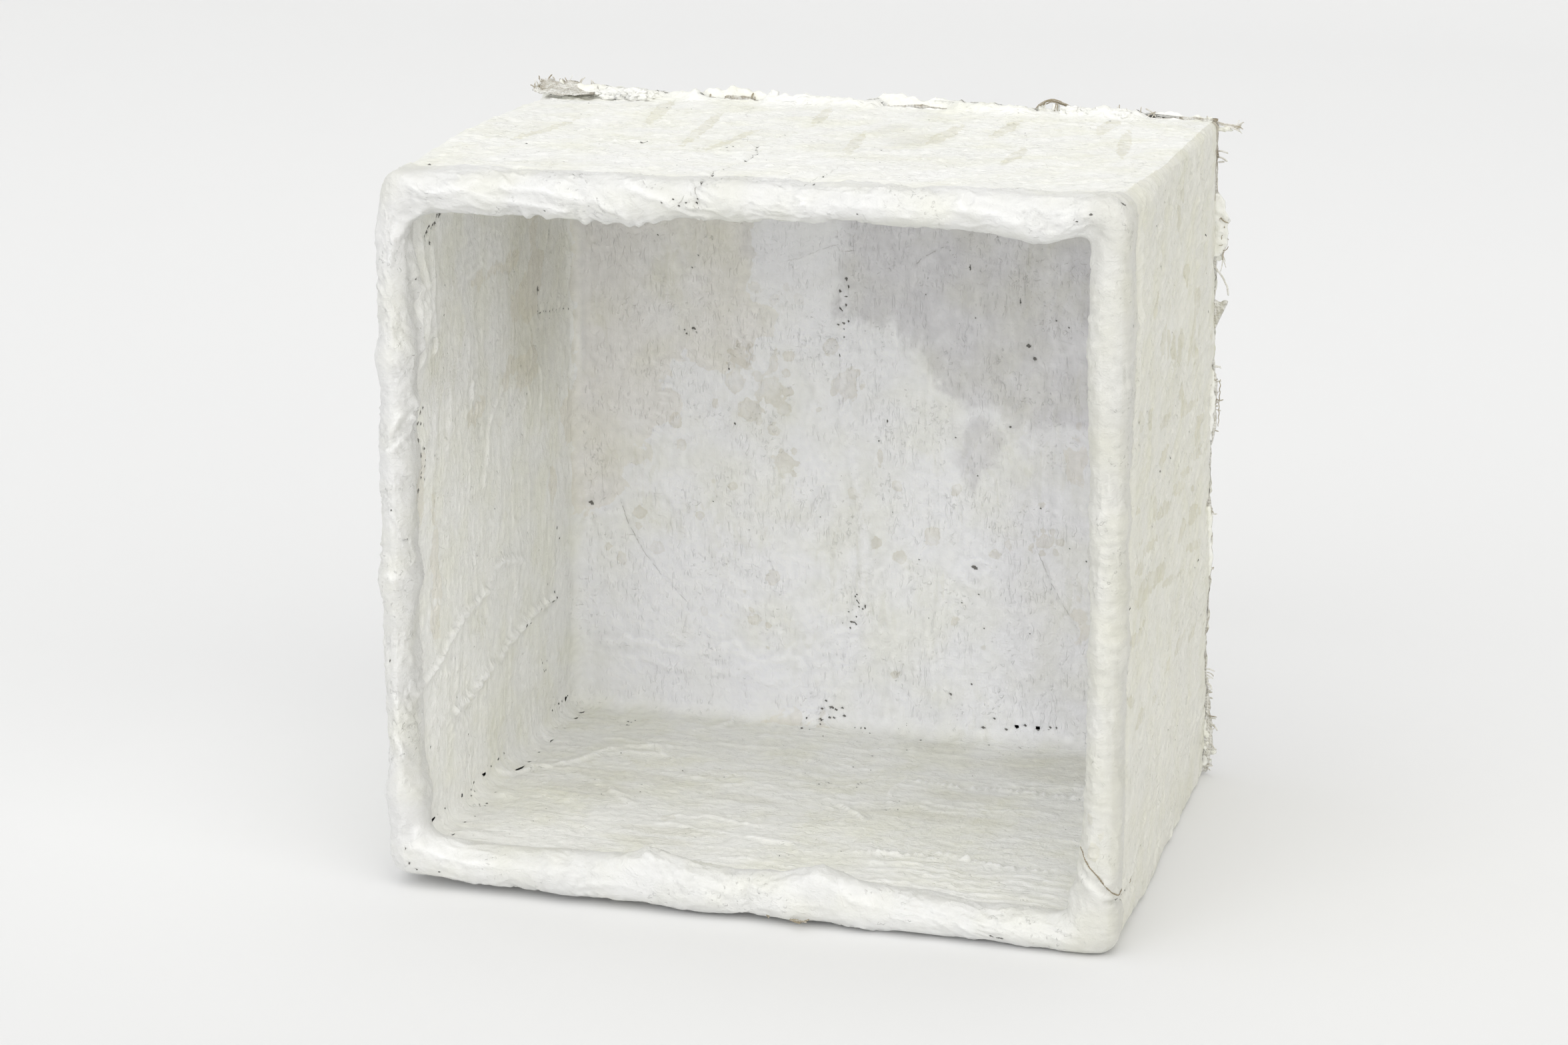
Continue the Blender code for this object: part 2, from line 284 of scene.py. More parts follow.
# Attributes of the surface. A distance is in millimetres and positive inside a mark.
# proud is how far a point stands out of those round it; the materials use it for painted cavity shade and
# highlight.
MARKS = {"stain": -60.0, "bare": -60.0, "dim": 0.0, "cloud": -60.0, "drops": -60.0, "pits": -60.0,
         "weave": 0.0, "dirt": 0.0, "fresh": 0.0, "line": 0.0, "lined": 0.0, "tan_and_side_shade": 0.0, "proud": 0.0}


class Skin:
    """Every point of the ring and the panels once, with the relief and marks laid on it."""

    def __init__(self, grids):
        points = np.concatenate([points.reshape(-1, 3) for points, _ in grids])
        normals = np.concatenate([normals.reshape(-1, 3) for _, normals in grids])
        cells = np.round((points + 1000) * 50).astype(np.int64)
        key = (cells[:, 0] << 42) + (cells[:, 1] << 21) + cells[:, 2]
        _, first, same = np.unique(key, return_index=True, return_inverse=True)
        self.points = points[first]
        total = np.zeros_like(self.points)
        for axis in range(3):
            total[:, axis] = np.bincount(same, normals[:, axis], len(first))
        self.normals = total / np.linalg.norm(total, axis=1)[:, None]
        self.grids = []
        start = 0
        for grid, _ in grids:
            rows, columns = grid.shape[:2]
            self.grids.append(same[start:start + rows * columns].reshape(rows, columns))
            start += rows * columns
        self.height = np.zeros(len(self.points))
        self.shift = np.zeros_like(self.points)
        self.marks = {name: np.full(len(self.points), start) for name, start in MARKS.items()}


class Face:
    """The points of the skin that face one way, with two coordinates of their own in millimetres."""

    def __init__(self, skin, axes, direction, beyond):
        axis, limit, sign = beyond
        toward = skin.normals @ np.array(direction, float)
        kept = (skin.points[:, axis] - limit) * sign > 0
        weight = np.where(kept, ramp(toward, 0.25, 0.6), 0)
        self.skin = skin
        self.index = np.nonzero(weight > 0)[0]
        self.weight = weight[self.index]
        self.toward = toward[self.index]
        self.a = skin.points[self.index, axes[0]]
        self.b = skin.points[self.index, axes[1]]

    def near(self, low_a, high_a, low_b, high_b):
        return np.nonzero((self.a > low_a) & (self.a < high_a) & (self.b > low_b) & (self.b < high_b))[0]

    def around(self, a, b, reach_a, reach_b, tilt, most):
        """Points near a place, and how far from it along two turned axes, as shares of the reaches."""
        chosen = self.near(a - most, a + most, b - most, b + most)
        turn = math.radians(tilt)
        da = self.a[chosen] - a
        db = self.b[chosen] - b
        u = (da * math.cos(turn) + db * math.sin(turn)) / reach_a
        v = (-da * math.sin(turn) + db * math.cos(turn)) / reach_b
        return chosen, u, v

    def raise_by(self, chosen, height):
        np.add.at(self.skin.height, self.index[chosen], height * self.weight[chosen])

    def mark(self, name, chosen, value):
        spots = self.index[chosen]
        field = self.skin.marks[name]
        field[spots] = np.maximum(field[spots], value)

    def blob(self, a, b, reach_a, reach_b, height, tilt=0.0, fresh=0.0):
        """A rounded lump, or a hollow where height is negative. Fresh whitens it."""
        chosen, u, v = self.around(a, b, reach_a, reach_b, tilt, 2.6 * max(reach_a, reach_b))
        shape = np.exp(-(u * u + v * v))
        self.raise_by(chosen, height * shape)
        if fresh:
            self.mark("fresh", chosen, fresh * shape)

    def spot(self, name, a, b, reach_a, reach_b=None, tilt=0.0):
        """A roundish mark, as a distance that is positive inside."""
        reach_b = reach_b or reach_a
        chosen, u, v = self.around(a, b, reach_a, reach_b, tilt, max(reach_a, reach_b) + 12)
        self.mark(name, chosen, (1 - np.hypot(u, v)) * min(reach_a, reach_b))

    def pit(self, a, b, reach_a, reach_b=None, tilt=0.0, depth=0.8):
        """A small hole: a shallow dent with painted shade in it, whose middle goes to the nearest point of
        the surface.

        Where the surface turns away there is none, since it would be stretched there."""
        close = self.near(a - 3, a + 3, b - 3, b + 3)
        if len(close):
            best = close[np.argmin((self.a[close] - a) ** 2 + (self.b[close] - b) ** 2)]
            a, b = self.a[best], self.b[best]
            if self.toward[best] < 0.8:
                return
        reach_b = reach_b or reach_a
        self.spot("pits", a, b, reach_a * 0.8, reach_b * 0.8, tilt)
        self.blob(a, b, reach_a * 1.1 + 0.5, reach_b * 1.1 + 0.5, -depth, tilt)

    def pits(self, centres, reach=0.9):
        for a, b in centres:
            self.pit(a, b, reach * rng.uniform(0.7, 1.2), reach * rng.uniform(0.7, 1.2))

    def path_distance(self, path, margin):
        """Points near a path, how far they are from it, on which side, and how far along."""
        path = np.array(path, float)
        chosen = self.near_path(path, margin)
        best = np.full(len(chosen), 1e9)
        along = np.zeros(len(chosen))
        side = np.zeros(len(chosen))
        travelled = 0.0
        spots = np.stack([self.a[chosen], self.b[chosen]], -1)
        for start, end in zip(path[:-1], path[1:]):
            step = end - start
            length = np.hypot(*step)
            share = np.clip(((spots - start) @ step) / length ** 2, 0, 1)
            gap = spots - (start + share[:, None] * step)
            distance = np.hypot(gap[:, 0], gap[:, 1])
            closer = distance < best
            best[closer] = distance[closer]
            along[closer] = (travelled + share * length)[closer]
            side[closer] = np.sign(step[0] * gap[:, 1] - step[1] * gap[:, 0])[closer]
            travelled += length
        return chosen, best, side, along, travelled

    def ridge(self, path, width, height, lean=0.0, wander=1.5, seed=0):
        """A ridge, or a groove where height is negative. Lean makes one flank steeper."""
        chosen, distance, side, along, length = self.path_distance(path, width * 3 + wander)
        spots = np.stack([self.a[chosen], self.b[chosen], np.zeros(len(chosen))], -1)
        offset = distance * side + wander * noise(spots, 11, 40 + seed)
        flank = width * (1 + lean * np.sign(offset))
        strength = 0.75 + 0.45 * noise(spots, 14, 50 + seed)
        ends = ramp(along, -1, width * 2) * ramp(length - along, -1, width * 2)
        shape = strength * ends * np.exp(-(offset / flank) ** 2)
        self.raise_by(chosen, 1.35 * height * shape)
        if height > 0.7:
            self.mark("fresh", chosen, 0.7 * shape)

    def line(self, path, strength=1.0):
        """A hair-thin scratch. Its offset is kept with a sign, so that it can be finer than the grid."""
        chosen, distance, side, along, length = self.path_distance(path, 7)
        share = strength * (1 - ramp(distance, 3, 6)) * ramp(along, -1, 3) * ramp(length - along, -1, 3)
        share *= (along > 0.01) & (along < length - 0.01)
        spots = self.index[chosen]
        better = share > self.skin.marks["lined"][spots]
        self.skin.marks["line"][spots[better]] = (distance * side)[better]
        self.skin.marks["lined"][spots[better]] = share[better]

    def bumps(self, path, pitch, along_size, across_size, height, lean=0.0, fresh=0.25):
        """A row of small lumps set across a path, like the edge of a piece of scrim under plaster."""
        path = np.array(path, float)
        steps = np.hypot(*(path[1:] - path[:-1]).T)
        places = np.concatenate([[0], np.cumsum(steps)])
        for place in np.arange(0, places[-1], pitch):
            lot = rng.uniform(size=4)
            if lot[0] < 0.1:
                continue
            at = place + (lot[1] - 0.5) * 0.35 * pitch * 2
            a = np.interp(at, places, path[:, 0])
            b = np.interp(at, places, path[:, 1])
            ahead_a = np.interp(at + 1, places, path[:, 0]) - a
            ahead_b = np.interp(at + 1, places, path[:, 1]) - b
            tilt = math.degrees(math.atan2(ahead_b, ahead_a)) + 25 * (lot[2] - 0.5) + lean
            size = 0.7 + 0.6 * lot[3]
            self.blob(a, b, along_size * 0.9, across_size * size, 1.4 * height * size, tilt, fresh)

    def near_path(self, path, margin):
        low = path.min(0) - margin
        high = path.max(0) + margin
        return self.near(low[0], high[0], low[1], high[1])

    def region(self, name, outline):
        """A mark with a drawn outline."""
        outline = np.array(outline, float)
        chosen = self.near_path(outline, 15.0)
        spots = np.stack([self.a[chosen], self.b[chosen]], -1)
        best = np.full(len(chosen), 1e9)
        inside = np.zeros(len(chosen), bool)
        for start, end in zip(outline, np.roll(outline, -1, axis=0)):
            step = end - start
            share = np.clip(((spots - start) @ step) / (step @ step), 0, 1)
            gap = spots - (start + share[:, None] * step)
            best = np.minimum(best, np.hypot(gap[:, 0], gap[:, 1]))
            crosses = (start[1] > spots[:, 1]) != (end[1] > spots[:, 1])
            height = end[1] - start[1] or 1e-9
            cut = start[0] + (spots[:, 1] - start[1]) / height * step[0]
            inside ^= crosses & (spots[:, 0] < cut)
        self.mark(name, chosen, np.where(inside, best, -best))

    def patch(self, name, a, b, reach_a, reach_b, strength=1.0, tilt=0.0):
        """A soft-edged share of a mark that isn't a distance."""
        chosen, u, v = self.around(a, b, reach_a, reach_b, tilt, 1.6 * max(reach_a, reach_b))
        self.mark(name, chosen, strength * (1 - ramp(np.hypot(u, v), 0.55, 1.25)))


skin = Skin([build_ring(), build_panel(0, 1.0), build_panel(len(ROWS) - 1, -1.0)])
RING, BACK_OUT, BACK_IN = skin.grids
SLAB_END = max(i for i, part in enumerate(PART) if part == "slab")
BEAD_START = min(i for i, part in enumerate(PART) if part == "bead") - 1
BEAD_END = max(i for i, part in enumerate(PART) if part == "bead") + 1
COVE_START = min(i for i, part in enumerate(PART) if part == "cove") - 1

X_AXIS, Y_AXIS, Z_AXIS = 0, 1, 2
# Each face: its two axes, the way that it looks, and the axis, limit and side of the points it may have.
left_in = Face(skin, (1, 2), (1, 0, 0), (X_AXIS, -200, -1))
right_in = Face(skin, (1, 2), (-1, 0, 0), (X_AXIS, 200, 1))
floor_in = Face(skin, (0, 1), (0, 0, 1), (Z_AXIS, 60, -1))
roof_in = Face(skin, (0, 1), (0, 0, -1), (Z_AXIS, 480, 1))
back_in = Face(skin, (0, 2), (0, -1, 0), (Y_AXIS, 150, 1))
front = Face(skin, (0, 2), (0, -1, 0), (Y_AXIS, -150, -1))
left_out = Face(skin, (1, 2), (-1, 0, 0), (X_AXIS, -200, -1))
right_out = Face(skin, (1, 2), (1, 0, 0), (X_AXIS, 200, 1))
top_out = Face(skin, (0, 1), (0, 0, 1), (Z_AXIS, 480, 1))
under = Face(skin, (0, 1), (0, 0, -1), (Z_AXIS, 60, -1))
back_out = Face(skin, (0, 2), (0, 1, 0), (Y_AXIS, 200, 1))


# --- Relief of the plaster ---------------------------------------------------------------------------

def side_shares(points):
    """How much a point belongs to each side, softly across the diagonals."""
    x = points[:, 0] / HALF_X
    z = (points[:, 2] - HALF_Z) / HALF_Z
    shares = {"right": ramp(x - np.abs(z), -0.08, 0.08), "left": ramp(-x - np.abs(z), -0.08, 0.08),
              "top": ramp(z - np.abs(x), -0.08, 0.08), "bottom": ramp(-z - np.abs(x), -0.08, 0.08)}
    total = sum(shares.values()) + 1e-6
    return {side: share / total for side, share in shares.items()}


def swirled(points, size, reach, seed):
    """Points pushed about by noise, so that what is made from them folds and curls."""
    push = np.stack([noise(points, size, seed + axis) for axis in range(3)], -1)
    return points + reach * push


# For each side's bead: size of its lumps and their height, size of its folds along x, y and z and
# their height, height of the fine creases, and height of the ripples that the brush left.
BEADS = {"left": (40, 1.9, (13, 20, 9), 1.5, 1.3, 0.0),
         "top": (50, 2.2, (24, 12, 9), 1.9, 1.6, 0.0),
         "right": (62, 1.8, (22, 18, 26), 0.9, 0.8, 0.55),
         "bottom": (54, 2.8, (34, 15, 11), 1.6, 1.2, 0.15)}


def bead_relief(points):
    """Thick plaster pushed along by hand: smooth lumps, thin lips between the strokes, and creases."""
    shares = side_shares(points)
    height = np.zeros(len(points))
    for number, (side, share) in enumerate(shares.items()):
        here = np.nonzero(share > 0.001)[0]
        lump, lump_height, fold, fold_height, fine_height, ripple = BEADS[side]
        spots = points[here]
        seed = 20 + 9 * number
        # The strokes run slantwise over the bead.
        slant = spots.copy()
        ring_axis, cross_axis = (2, 0) if side in ("left", "right") else (0, 2)
        slant[:, ring_axis] += 0.7 * spots[:, cross_axis] + 0.5 * spots[:, 1]
        bent = swirled(slant, 30, 12, seed)
        lips = 0.55 - np.minimum(np.abs(noise(bent, fold, seed + 4)) * 2.2, 1) ** 0.7
        mask = ramp(noise(spots, 34, seed + 7), -0.45, 0.35)
        curled = swirled(bent, 12, 5, seed + 5)
        creases = np.minimum(np.abs(noise(curled, np.array(fold) * 0.62, seed + 6)) * 3, 1)
        fade = ramp(noise(spots, 28, seed + 9), -0.1, 0.4)
        ring = spots[:, ring_axis]
        wave = noise(np.stack([ring, spots[:, cross_axis], spots[:, 1]], -1), (3.4, 12, 12), seed + 8)
        grain = 0.55 * ramp(noise(spots, 40, seed + 10), -0.4, 0.3)
        grain = grain * noise(bent, np.array(fold) * 0.4, seed + 1)
        here_height = (lump_height * layered(spots, lump, 2, seed) + fold_height * lips * mask
                       + fine_height * fade * (creases - 0.7) + ripple * wave * 1.6 + grain)
        height[here] += share[here] * here_height
    return height


def wall_relief(points, normals):
    """Slow waves of a hand-laid wall, and the strokes of the hand and brush that spread it."""
    height = 2.0 * layered(points, 190, 2, 1) + 1.1 * noise(points, 55, 5)
    bent = swirled(points, 60, 14, 6)
    height += 1.3 * (np.abs(noise(bent, 24, 9)) - 0.3) + 0.7 * (np.abs(noise(bent, 11, 10)) - 0.3)
    facing = normals ** 2
    rising = bent.copy()
    rising[:, 2] -= 0.5 * bent[:, 1]
    right_side = points[:, 0] > HALF_X - 5
    upright = np.where(right_side, 2.6 * noise(rising, (30, 34, 6), 17), noise(bent, (30, 5, 60), 11))
    strokes = (facing[:, 0] * upright
               + facing[:, 1] * noise(swirled(points, 90, 26, 12), (7, 40, 60), 15)
               + facing[:, 2] * noise(bent, (60, 6, 30), 16))
    rough = ramp(noise(points, 48, 18), -0.4, 0.5)
    square = ramp(np.sum(facing * facing, axis=1), 0.55, 0.95)
    height += 0.65 * square * strokes * (0.35 + 0.65 * rough) + 0.3 * noise(points, 5, 19)
    # A crust of small lumps and tears, mostly on the outside and at the top of the right side.
    outside = ramp(np.abs(points[:, 0]), HALF_X - 6, HALF_X - 3) + ramp(points[:, 2], TALL - 6, TALL - 3)
    crust = ramp(noise(points, 64, 260) + 0.5 * ramp(points[:, 2], 380, 480), -0.25, 0.5)
    crust = crust * np.clip(outside, 0.25, 1)
    torn = swirled(points, 16, 6, 261)
    tears = 1.3 * (0.35 - np.abs(noise(torn, (12, 14, 8), 265)))
    height += crust * (tears + 0.9 * np.maximum(noise(torn, 5.5, 266), -0.1))
    return height


BEAD_FADE = (158, 187)                         # how far forward the bead's relief starts and is whole
bead_share = ramp(-skin.points[:, 1], *BEAD_FADE)
on_bead = np.nonzero(bead_share > 0)[0]
skin.height += wall_relief(skin.points, skin.normals) * (1 - 0.8 * bead_share)
skin.height[on_bead] += bead_share[on_bead] * bead_relief(skin.points[on_bead])


# --- The out-of-square shape of the box --------------------------------------------------------------
# How far each corner stands from its place, in millimetres: front or back, top or bottom, left or right.
CORNER_SHIFT = {(0, 1, 0): (4, 2, 0), (0, 1, 1): (-3, 0, 5), (0, 0, 1): (0, -3, 0), (0, 0, 0): (-1, 2, 8),
                (1, 1, 1): (-2, 0, -2), (1, 0, 1): (4, 2, 0), (1, 1, 0): (0, 0, 0), (1, 0, 0): (-2, 0, 0)}


def warped(points):
    """Millimetre places moved by the corners' shifts, in proportion."""
    points = np.asarray(points, float)
    across = (points[..., 0] + HALF_X) / (2 * HALF_X)
    deep = (points[..., 1] - MOUTH_Y) / (BACK_Y - MOUTH_Y)
    up = points[..., 2] / TALL
    moved = points.copy()
    for (back, top, right), shift in CORNER_SHIFT.items():
        share = (deep if back else 1 - deep) * (up if top else 1 - up) * (across if right else 1 - across)
        moved += share[..., None] * np.array(shift, float)
    return moved


def smooth_normals(points):
    """A normal for each point of the skin, from the quads of all its grids."""
    total = np.zeros_like(points)
    for number, grid in enumerate(skin.grids):
        if number == 0:
            grid = np.concatenate([grid, grid[:, :1]], axis=1)
        a, b, c, d = grid[:-1, :-1], grid[:-1, 1:], grid[1:, 1:], grid[1:, :-1]
        normal = np.cross(points[c] - points[a], points[b] - points[d]).reshape(-1, 3)
        normal *= np.sign(np.sum(normal * skin.normals[a.ravel()]))
        for corner in (a, b, c, d):
            for axis in range(3):
                total[:, axis] += np.bincount(corner.ravel(), normal[:, axis], len(points))
    return total / np.linalg.norm(total, axis=1)[:, None]


# --- The bead's own shape ----------------------------------------------------------------------------
# For each side: places along it and how far in the bead's inner edge is there.
BEAD_WIDTHS = {
    "left": [(20, 30), (100, 22), (200, 23), (300, 25), (400, 26), (470, 23), (520, 23)],
    "right": [(30, 33), (48, 32), (100, 27), (220, 25), (300, 27), (400, 30), (500, 32), (525, 33)],
    "top": [(-250, 30), (-140, 30), (-82, 32), (-52, 28), (60, 25), (140, 27), (184, 30), (222, 32),
            (250, 27)],
    "bottom": [(-240, 32), (-200, 30), (-120, 33), (-76, 41), (-20, 32), (28, 34), (58, 41), (100, 32),
               (180, 25), (248, 27)]}
# Rounded rings round the bead: side, place along it, half width, height.
BEAD_RINGS = [("left", 412, 16, 3.0), ("left", 240, 11, 2.6), ("left", 64, 18, 3.0), ("left", 330, 22, 1.2),
              ("right", 325, 9, 1.8), ("right", 228, 12, 2.2), ("right", 276, 7, 0.8),
              ("right", 420, 22, 1.0), ("top", -200, 24, 1.6), ("top", -140, 16, 1.2), ("top", 10, 20, 0.8),
              ("bottom", -150, 22, 1.2), ("bottom", 130, 26, 1.2)]


def shape_bead():
    points = skin.points[on_bead]
    share = bead_share[on_bead]
    sides = side_shares(points)
    ways = {"left": (1, 0, 0), "right": (-1, 0, 0), "top": (0, 0, -1), "bottom": (0, 0, 1)}
    for side, stations in BEAD_WIDTHS.items():
        upright = side in ("left", "right")
        along = points[:, 2] if upright else points[:, 0]
        depth = {"left": points[:, 0] + HALF_X, "right": HALF_X - points[:, 0],
                 "top": TALL - points[:, 2], "bottom": points[:, 2]}[side]
        places, insets = np.array(stations, float).T
        change = np.interp(along, places, insets) - BEAD
        falling = np.clip((depth - WALL) / (BEAD - WALL), 0, 1)
        inner = np.where(points[:, 1] > MOUTH_Y + NOSE, falling, ramp(depth, 6, BEAD)) * sides[side]
        skin.shift[on_bead] += (change * inner)[:, None] * np.array(ways[side], float)
    # The left bead bows outwards, and the mouth's top right corner is nearly square.
    z = points[:, 2]
    skin.shift[on_bead, 0] -= 3.6 * share * sides["left"] * ramp(z, 60, 180) * (1 - ramp(z, 500, 548))
    away = np.hypot(points[:, 0] - HALF_X + 31, z - TALL + 31)
    for axis in (0, 2):
        skin.shift[on_bead, axis] += 5.0 * share * np.exp(-(away / 13) ** 2)
    for side, place, reach, height in BEAD_RINGS:
        along = points[:, 2] if side in ("left", "right") else points[:, 0]
        bend = 5 * noise(points, 40, 60)
        skin.height[on_bead] += height * share * sides[side] * np.exp(-((along - place + bend) / reach) ** 2)


shape_bead()


# --- The slab's edge ---------------------------------------------------------------------------------
# Heights of the ragged crest along the back of the top, and the stretches where a slit opens before it.
CREST = [(-282, 2), (-262, 5), (-236, 6), (-215, 5.5), (-190, 4), (-160, 3), (-148, 5), (-134, 9),
         (-110, 8), (-96, 5.5), (-70, 3), (-40, 4), (-10, 3), (10, 7), (35, 8), (60, 5.5), (85, 4.5),
         (110, 4), (133, 2), (160, 2), (190, 5), (222, 4), (250, 3.5), (282, 2)]
SLITS = [(-150, -94), (2, 62), (222, 284)]


def raise_crest():
    points = skin.points
    places, heights = np.array(CREST, float).T
    x = points[:, 0]
    crest = np.interp(x, places, heights) * (1 + 0.5 * noise(points, (9, 30, 30), 250))
    crest += 1.3 * noise(points, (4.5, 20, 20), 252) + 1.2 * np.abs(noise(points, (9, 6, 20), 253))
    slit = np.zeros(len(points))
    for low, high in SLITS:
        slit = np.maximum(slit, ramp(x, low - 3, low + 4) * (1 - ramp(x, high - 4, high + 3)))
    on_slab = (points[:, 1] > SLAB_Y - 0.1) & (points[:, 2] > TALL - 16)
    on_coat = (points[:, 1] <= SLAB_Y - 0.1) & (points[:, 2] > TALL - 1)
    share = np.where(on_slab, ramp(points[:, 2], TALL - 15, TALL - 2), 0)
    share += np.where(on_coat, ramp(points[:, 1], 183, 206) * (1 - slit), 0)
    skin.shift[:, 2] += share * crest
    lip = on_slab & (points[:, 1] < BACK_Y - 5)
    skin.shift[:, 1] -= np.where(lip, 0.8 * share * slit, 0)
    right = ramp(x, HALF_X - 14, HALF_X - 1)
    beyond = np.where(points[:, 1] > SLAB_Y - 0.1, right, 0)
    skin.shift[:, 0] += beyond * (0.8 + 1.8 * noise(points, (20, 20, 26), 254) + 0.9 * noise(points, 6, 256))
    joint = np.exp(-((points[:, 1] - SLAB_Y) / 1.6) ** 2)
    outside = (np.abs(x) > HALF_X - 2) | (points[:, 2] < 2)
    skin.height -= 1.2 * joint * outside * ramp(noise(points, 15, 258), -0.3, 0.5)


raise_crest()


# --- What is on each face ----------------------------------------------------------------------------

def scatter_pits(face, low, high, count, reach=0.7):
    """Pinholes strewn over a rectangle of a face."""
    for _ in range(count):
        a, b = rng.uniform(low, high)
        size = reach * rng.uniform(0.6, 1.3)
        face.pit(a, b, size, size * rng.uniform(0.8, 1.6), rng.uniform(0, 90), 0.5)


def strew(lay, count, *ranges, **fixed):
    """Lay something many times, each time with a random value from each range."""
    for _ in range(count):
        lay(*[rng.uniform(*span) for span in ranges], **fixed)


def mark_front():
    """The mouth seen from the front: lumps, drips, seam and stains of the bead."""
    # Long drag marks and folds of the top bead's left half.
    front.ridge([(-262, 548), (-240, 536), (-214, 541), (-196, 546)], 3.5, 2.0, 0.4, 2.5, 1)
    front.ridge([(-214, 540), (-170, 533), (-128, 526)], 3.0, 1.8, -0.5, 2.0, 2)
    front.ridge([(-186, 545), (-150, 541), (-112, 534), (-84, 524)], 3.2, 1.6, 0.5, 2.5, 3)
    front.ridge([(-96, 548), (-76, 544), (-60, 536), (-50, 527)], 4.0, 2.4, 0.5, 1.5, 4)
    front.ridge([(-250, 520), (-256, 505), (-262, 480)], 3.5, 2.2, 0.3, 2.0, 5)
    front.ridge([(-238, 528), (-247, 514), (-252, 498)], 3.0, 2.0, -0.4, 1.5, 6)
    front.ridge([(-268, 350), (-258, 362), (-250, 372)], 3.5, 2.2, 0.4, 1.5, 7)
    front.ridge([(-272, 338), (-260, 346), (-250, 352)], 2.6, 1.6, -0.4, 1.5, 8)
    front.ridge([(-274, 246), (-262, 242), (-252, 246)], 3.5, 1.6, 0.3, 1.5, 9)
    front.ridge([(-272, 150), (-262, 142), (-254, 146)], 3.0, 1.4, 0.3, 1.5, 10)
    front.ridge([(-270, 120), (-258, 110), (-252, 98)], 3.0, 1.4, -0.3, 1.5, 11)
    front.ridge([(-262, 30), (-240, 24), (-214, 21), (-190, 22)], 4.0, 1.8, 0.4, 2.5, 12)
    front.ridge([(-250, 46), (-254, 34), (-246, 20)], 3.5, 2.0, 0.4, 2.0, 13)
    front.ridge([(150, 544), (180, 540), (204, 530)], 4.0, 1.6, -0.4, 2.0, 14)
    front.ridge([(228, 536), (240, 541), (252, 543)], 3.0, 1.4, 0.5, 1.0, 15)
    front.ridge([(36, 548), (44, 541), (38, 534)], 3.0, 1.5, 0.4, 1.5, 16)
    for x in np.arange(-20, 190, 9.5):
        front.blob(x + rng.uniform(-4, 4), rng.uniform(531, 546), rng.uniform(4, 9), rng.uniform(2, 3.5),
                   rng.uniform(-0.9, 1.1), rng.uniform(-25, 10))
    # Drips and teeth under the top bead's left half, and the smooth sag at its right end.
    for x, drop in [(-186, 1.5), (-165, 3.0), (-150, 1.5), (-121, 4.0), (-106, 2.0), (-88, 3.4), (-80, 3.0),
                    (-70, 1.8), (-58, 1.2), (-30, 1.2)]:
        roof_in.blob(x, -206, rng.uniform(2.6, 4.5), 8, drop)
    roof_in.blob(214, -205, 22, 15, 3.5)
    front.blob(218, 528, 22, 9, 2.6, -12)
    front.blob(262, 536, 18, 16, 2.2)
    # Peaks on the bottom bead.
    floor_in.blob(-76, -200, 16, 12, 2.0)
    floor_in.blob(58, -200, 14, 12, 2.0)
    front.blob(58, 28, 15, 7, 2.2, 10)
    front.blob(-76, 30, 16, 7, 1.6, -10)
    front.ridge([(70, 34), (84, 24), (104, 20)], 3.5, 1.5, 0.4, 1.5, 17)
    # Beads of smooth plaster on the right side, and small bright drops.
    for x, z, size, height in [(254, 516, 4, 1.4), (262, 404, 5, 1.2), (252, 448, 4, 1.0), (258, 90, 4, 1.0),
                               (120, 531, 5, 1.2), (170, 533, 4, 1.2), (-256, 420, 6, 1.0)]:
        front.blob(x, z, size, size * 0.7, height)
    # The seam in the top bead, the one in the bottom bead, and pinholes.
    front.ridge([(-36, 556), (-37, 546), (-34, 538), (-36, 528)], 1.6, -2.0, 0.0, 1.2, 18)
    front.pits([(-36, 552), (-37, 547), (-35, 541), (-36, 535), (-42, 535), (-52, 540), (-48, 534),
                (-60, 537), (-33, 531)], 1.0)
    front.line([(-33, 558), (-37, 549), (-34, 541), (-37, 534), (-35, 528)], 1.0)
    front.line([(-37, 549), (-44, 543), (-46, 536), (-54, 531)], 0.8)
    front.line([(-36, 543), (-28, 538)], 0.6)
    front.ridge([(5, 36), (4, 20), (6, 6)], 2.2, -1.4, 0.0, 1.5, 19)
    front.pits([(251, 539), (240, 534), (229, 524), (276, 551), (-200, 30), (84, 530), (-266, 296),
                (-272, 176), (-150, 526)], 1.1)
    front.pit(196, 7, 3.6, 1.6, 10, 1.2)
    front.pit(189, 9, 1.5, 1.2)
    for a, b, size in [(-262, 14, 1.8), (-256, 8, 1.4), (-246, 6, 1.6), (-238, 9, 1.2), (-262, 26, 1.2)]:
        front.pit(a, b, size, size * 0.6, rng.uniform(0, 90))
    front.spot("drops", 262, 82, 5, 7)
    front.spot("drops", 268, 94, 3, 4)
    front.spot("drops", 256, 108, 3, 5)
    # The crack at the foot of the right bead.
    front.ridge([(246, 71), (263, 59), (283, 46)], 2.0, -2.2, 0.0, 0.8, 20)
    front.ridge([(246, 66), (262, 54), (280, 42)], 4.0, 1.0, 0.3, 1.0, 21)


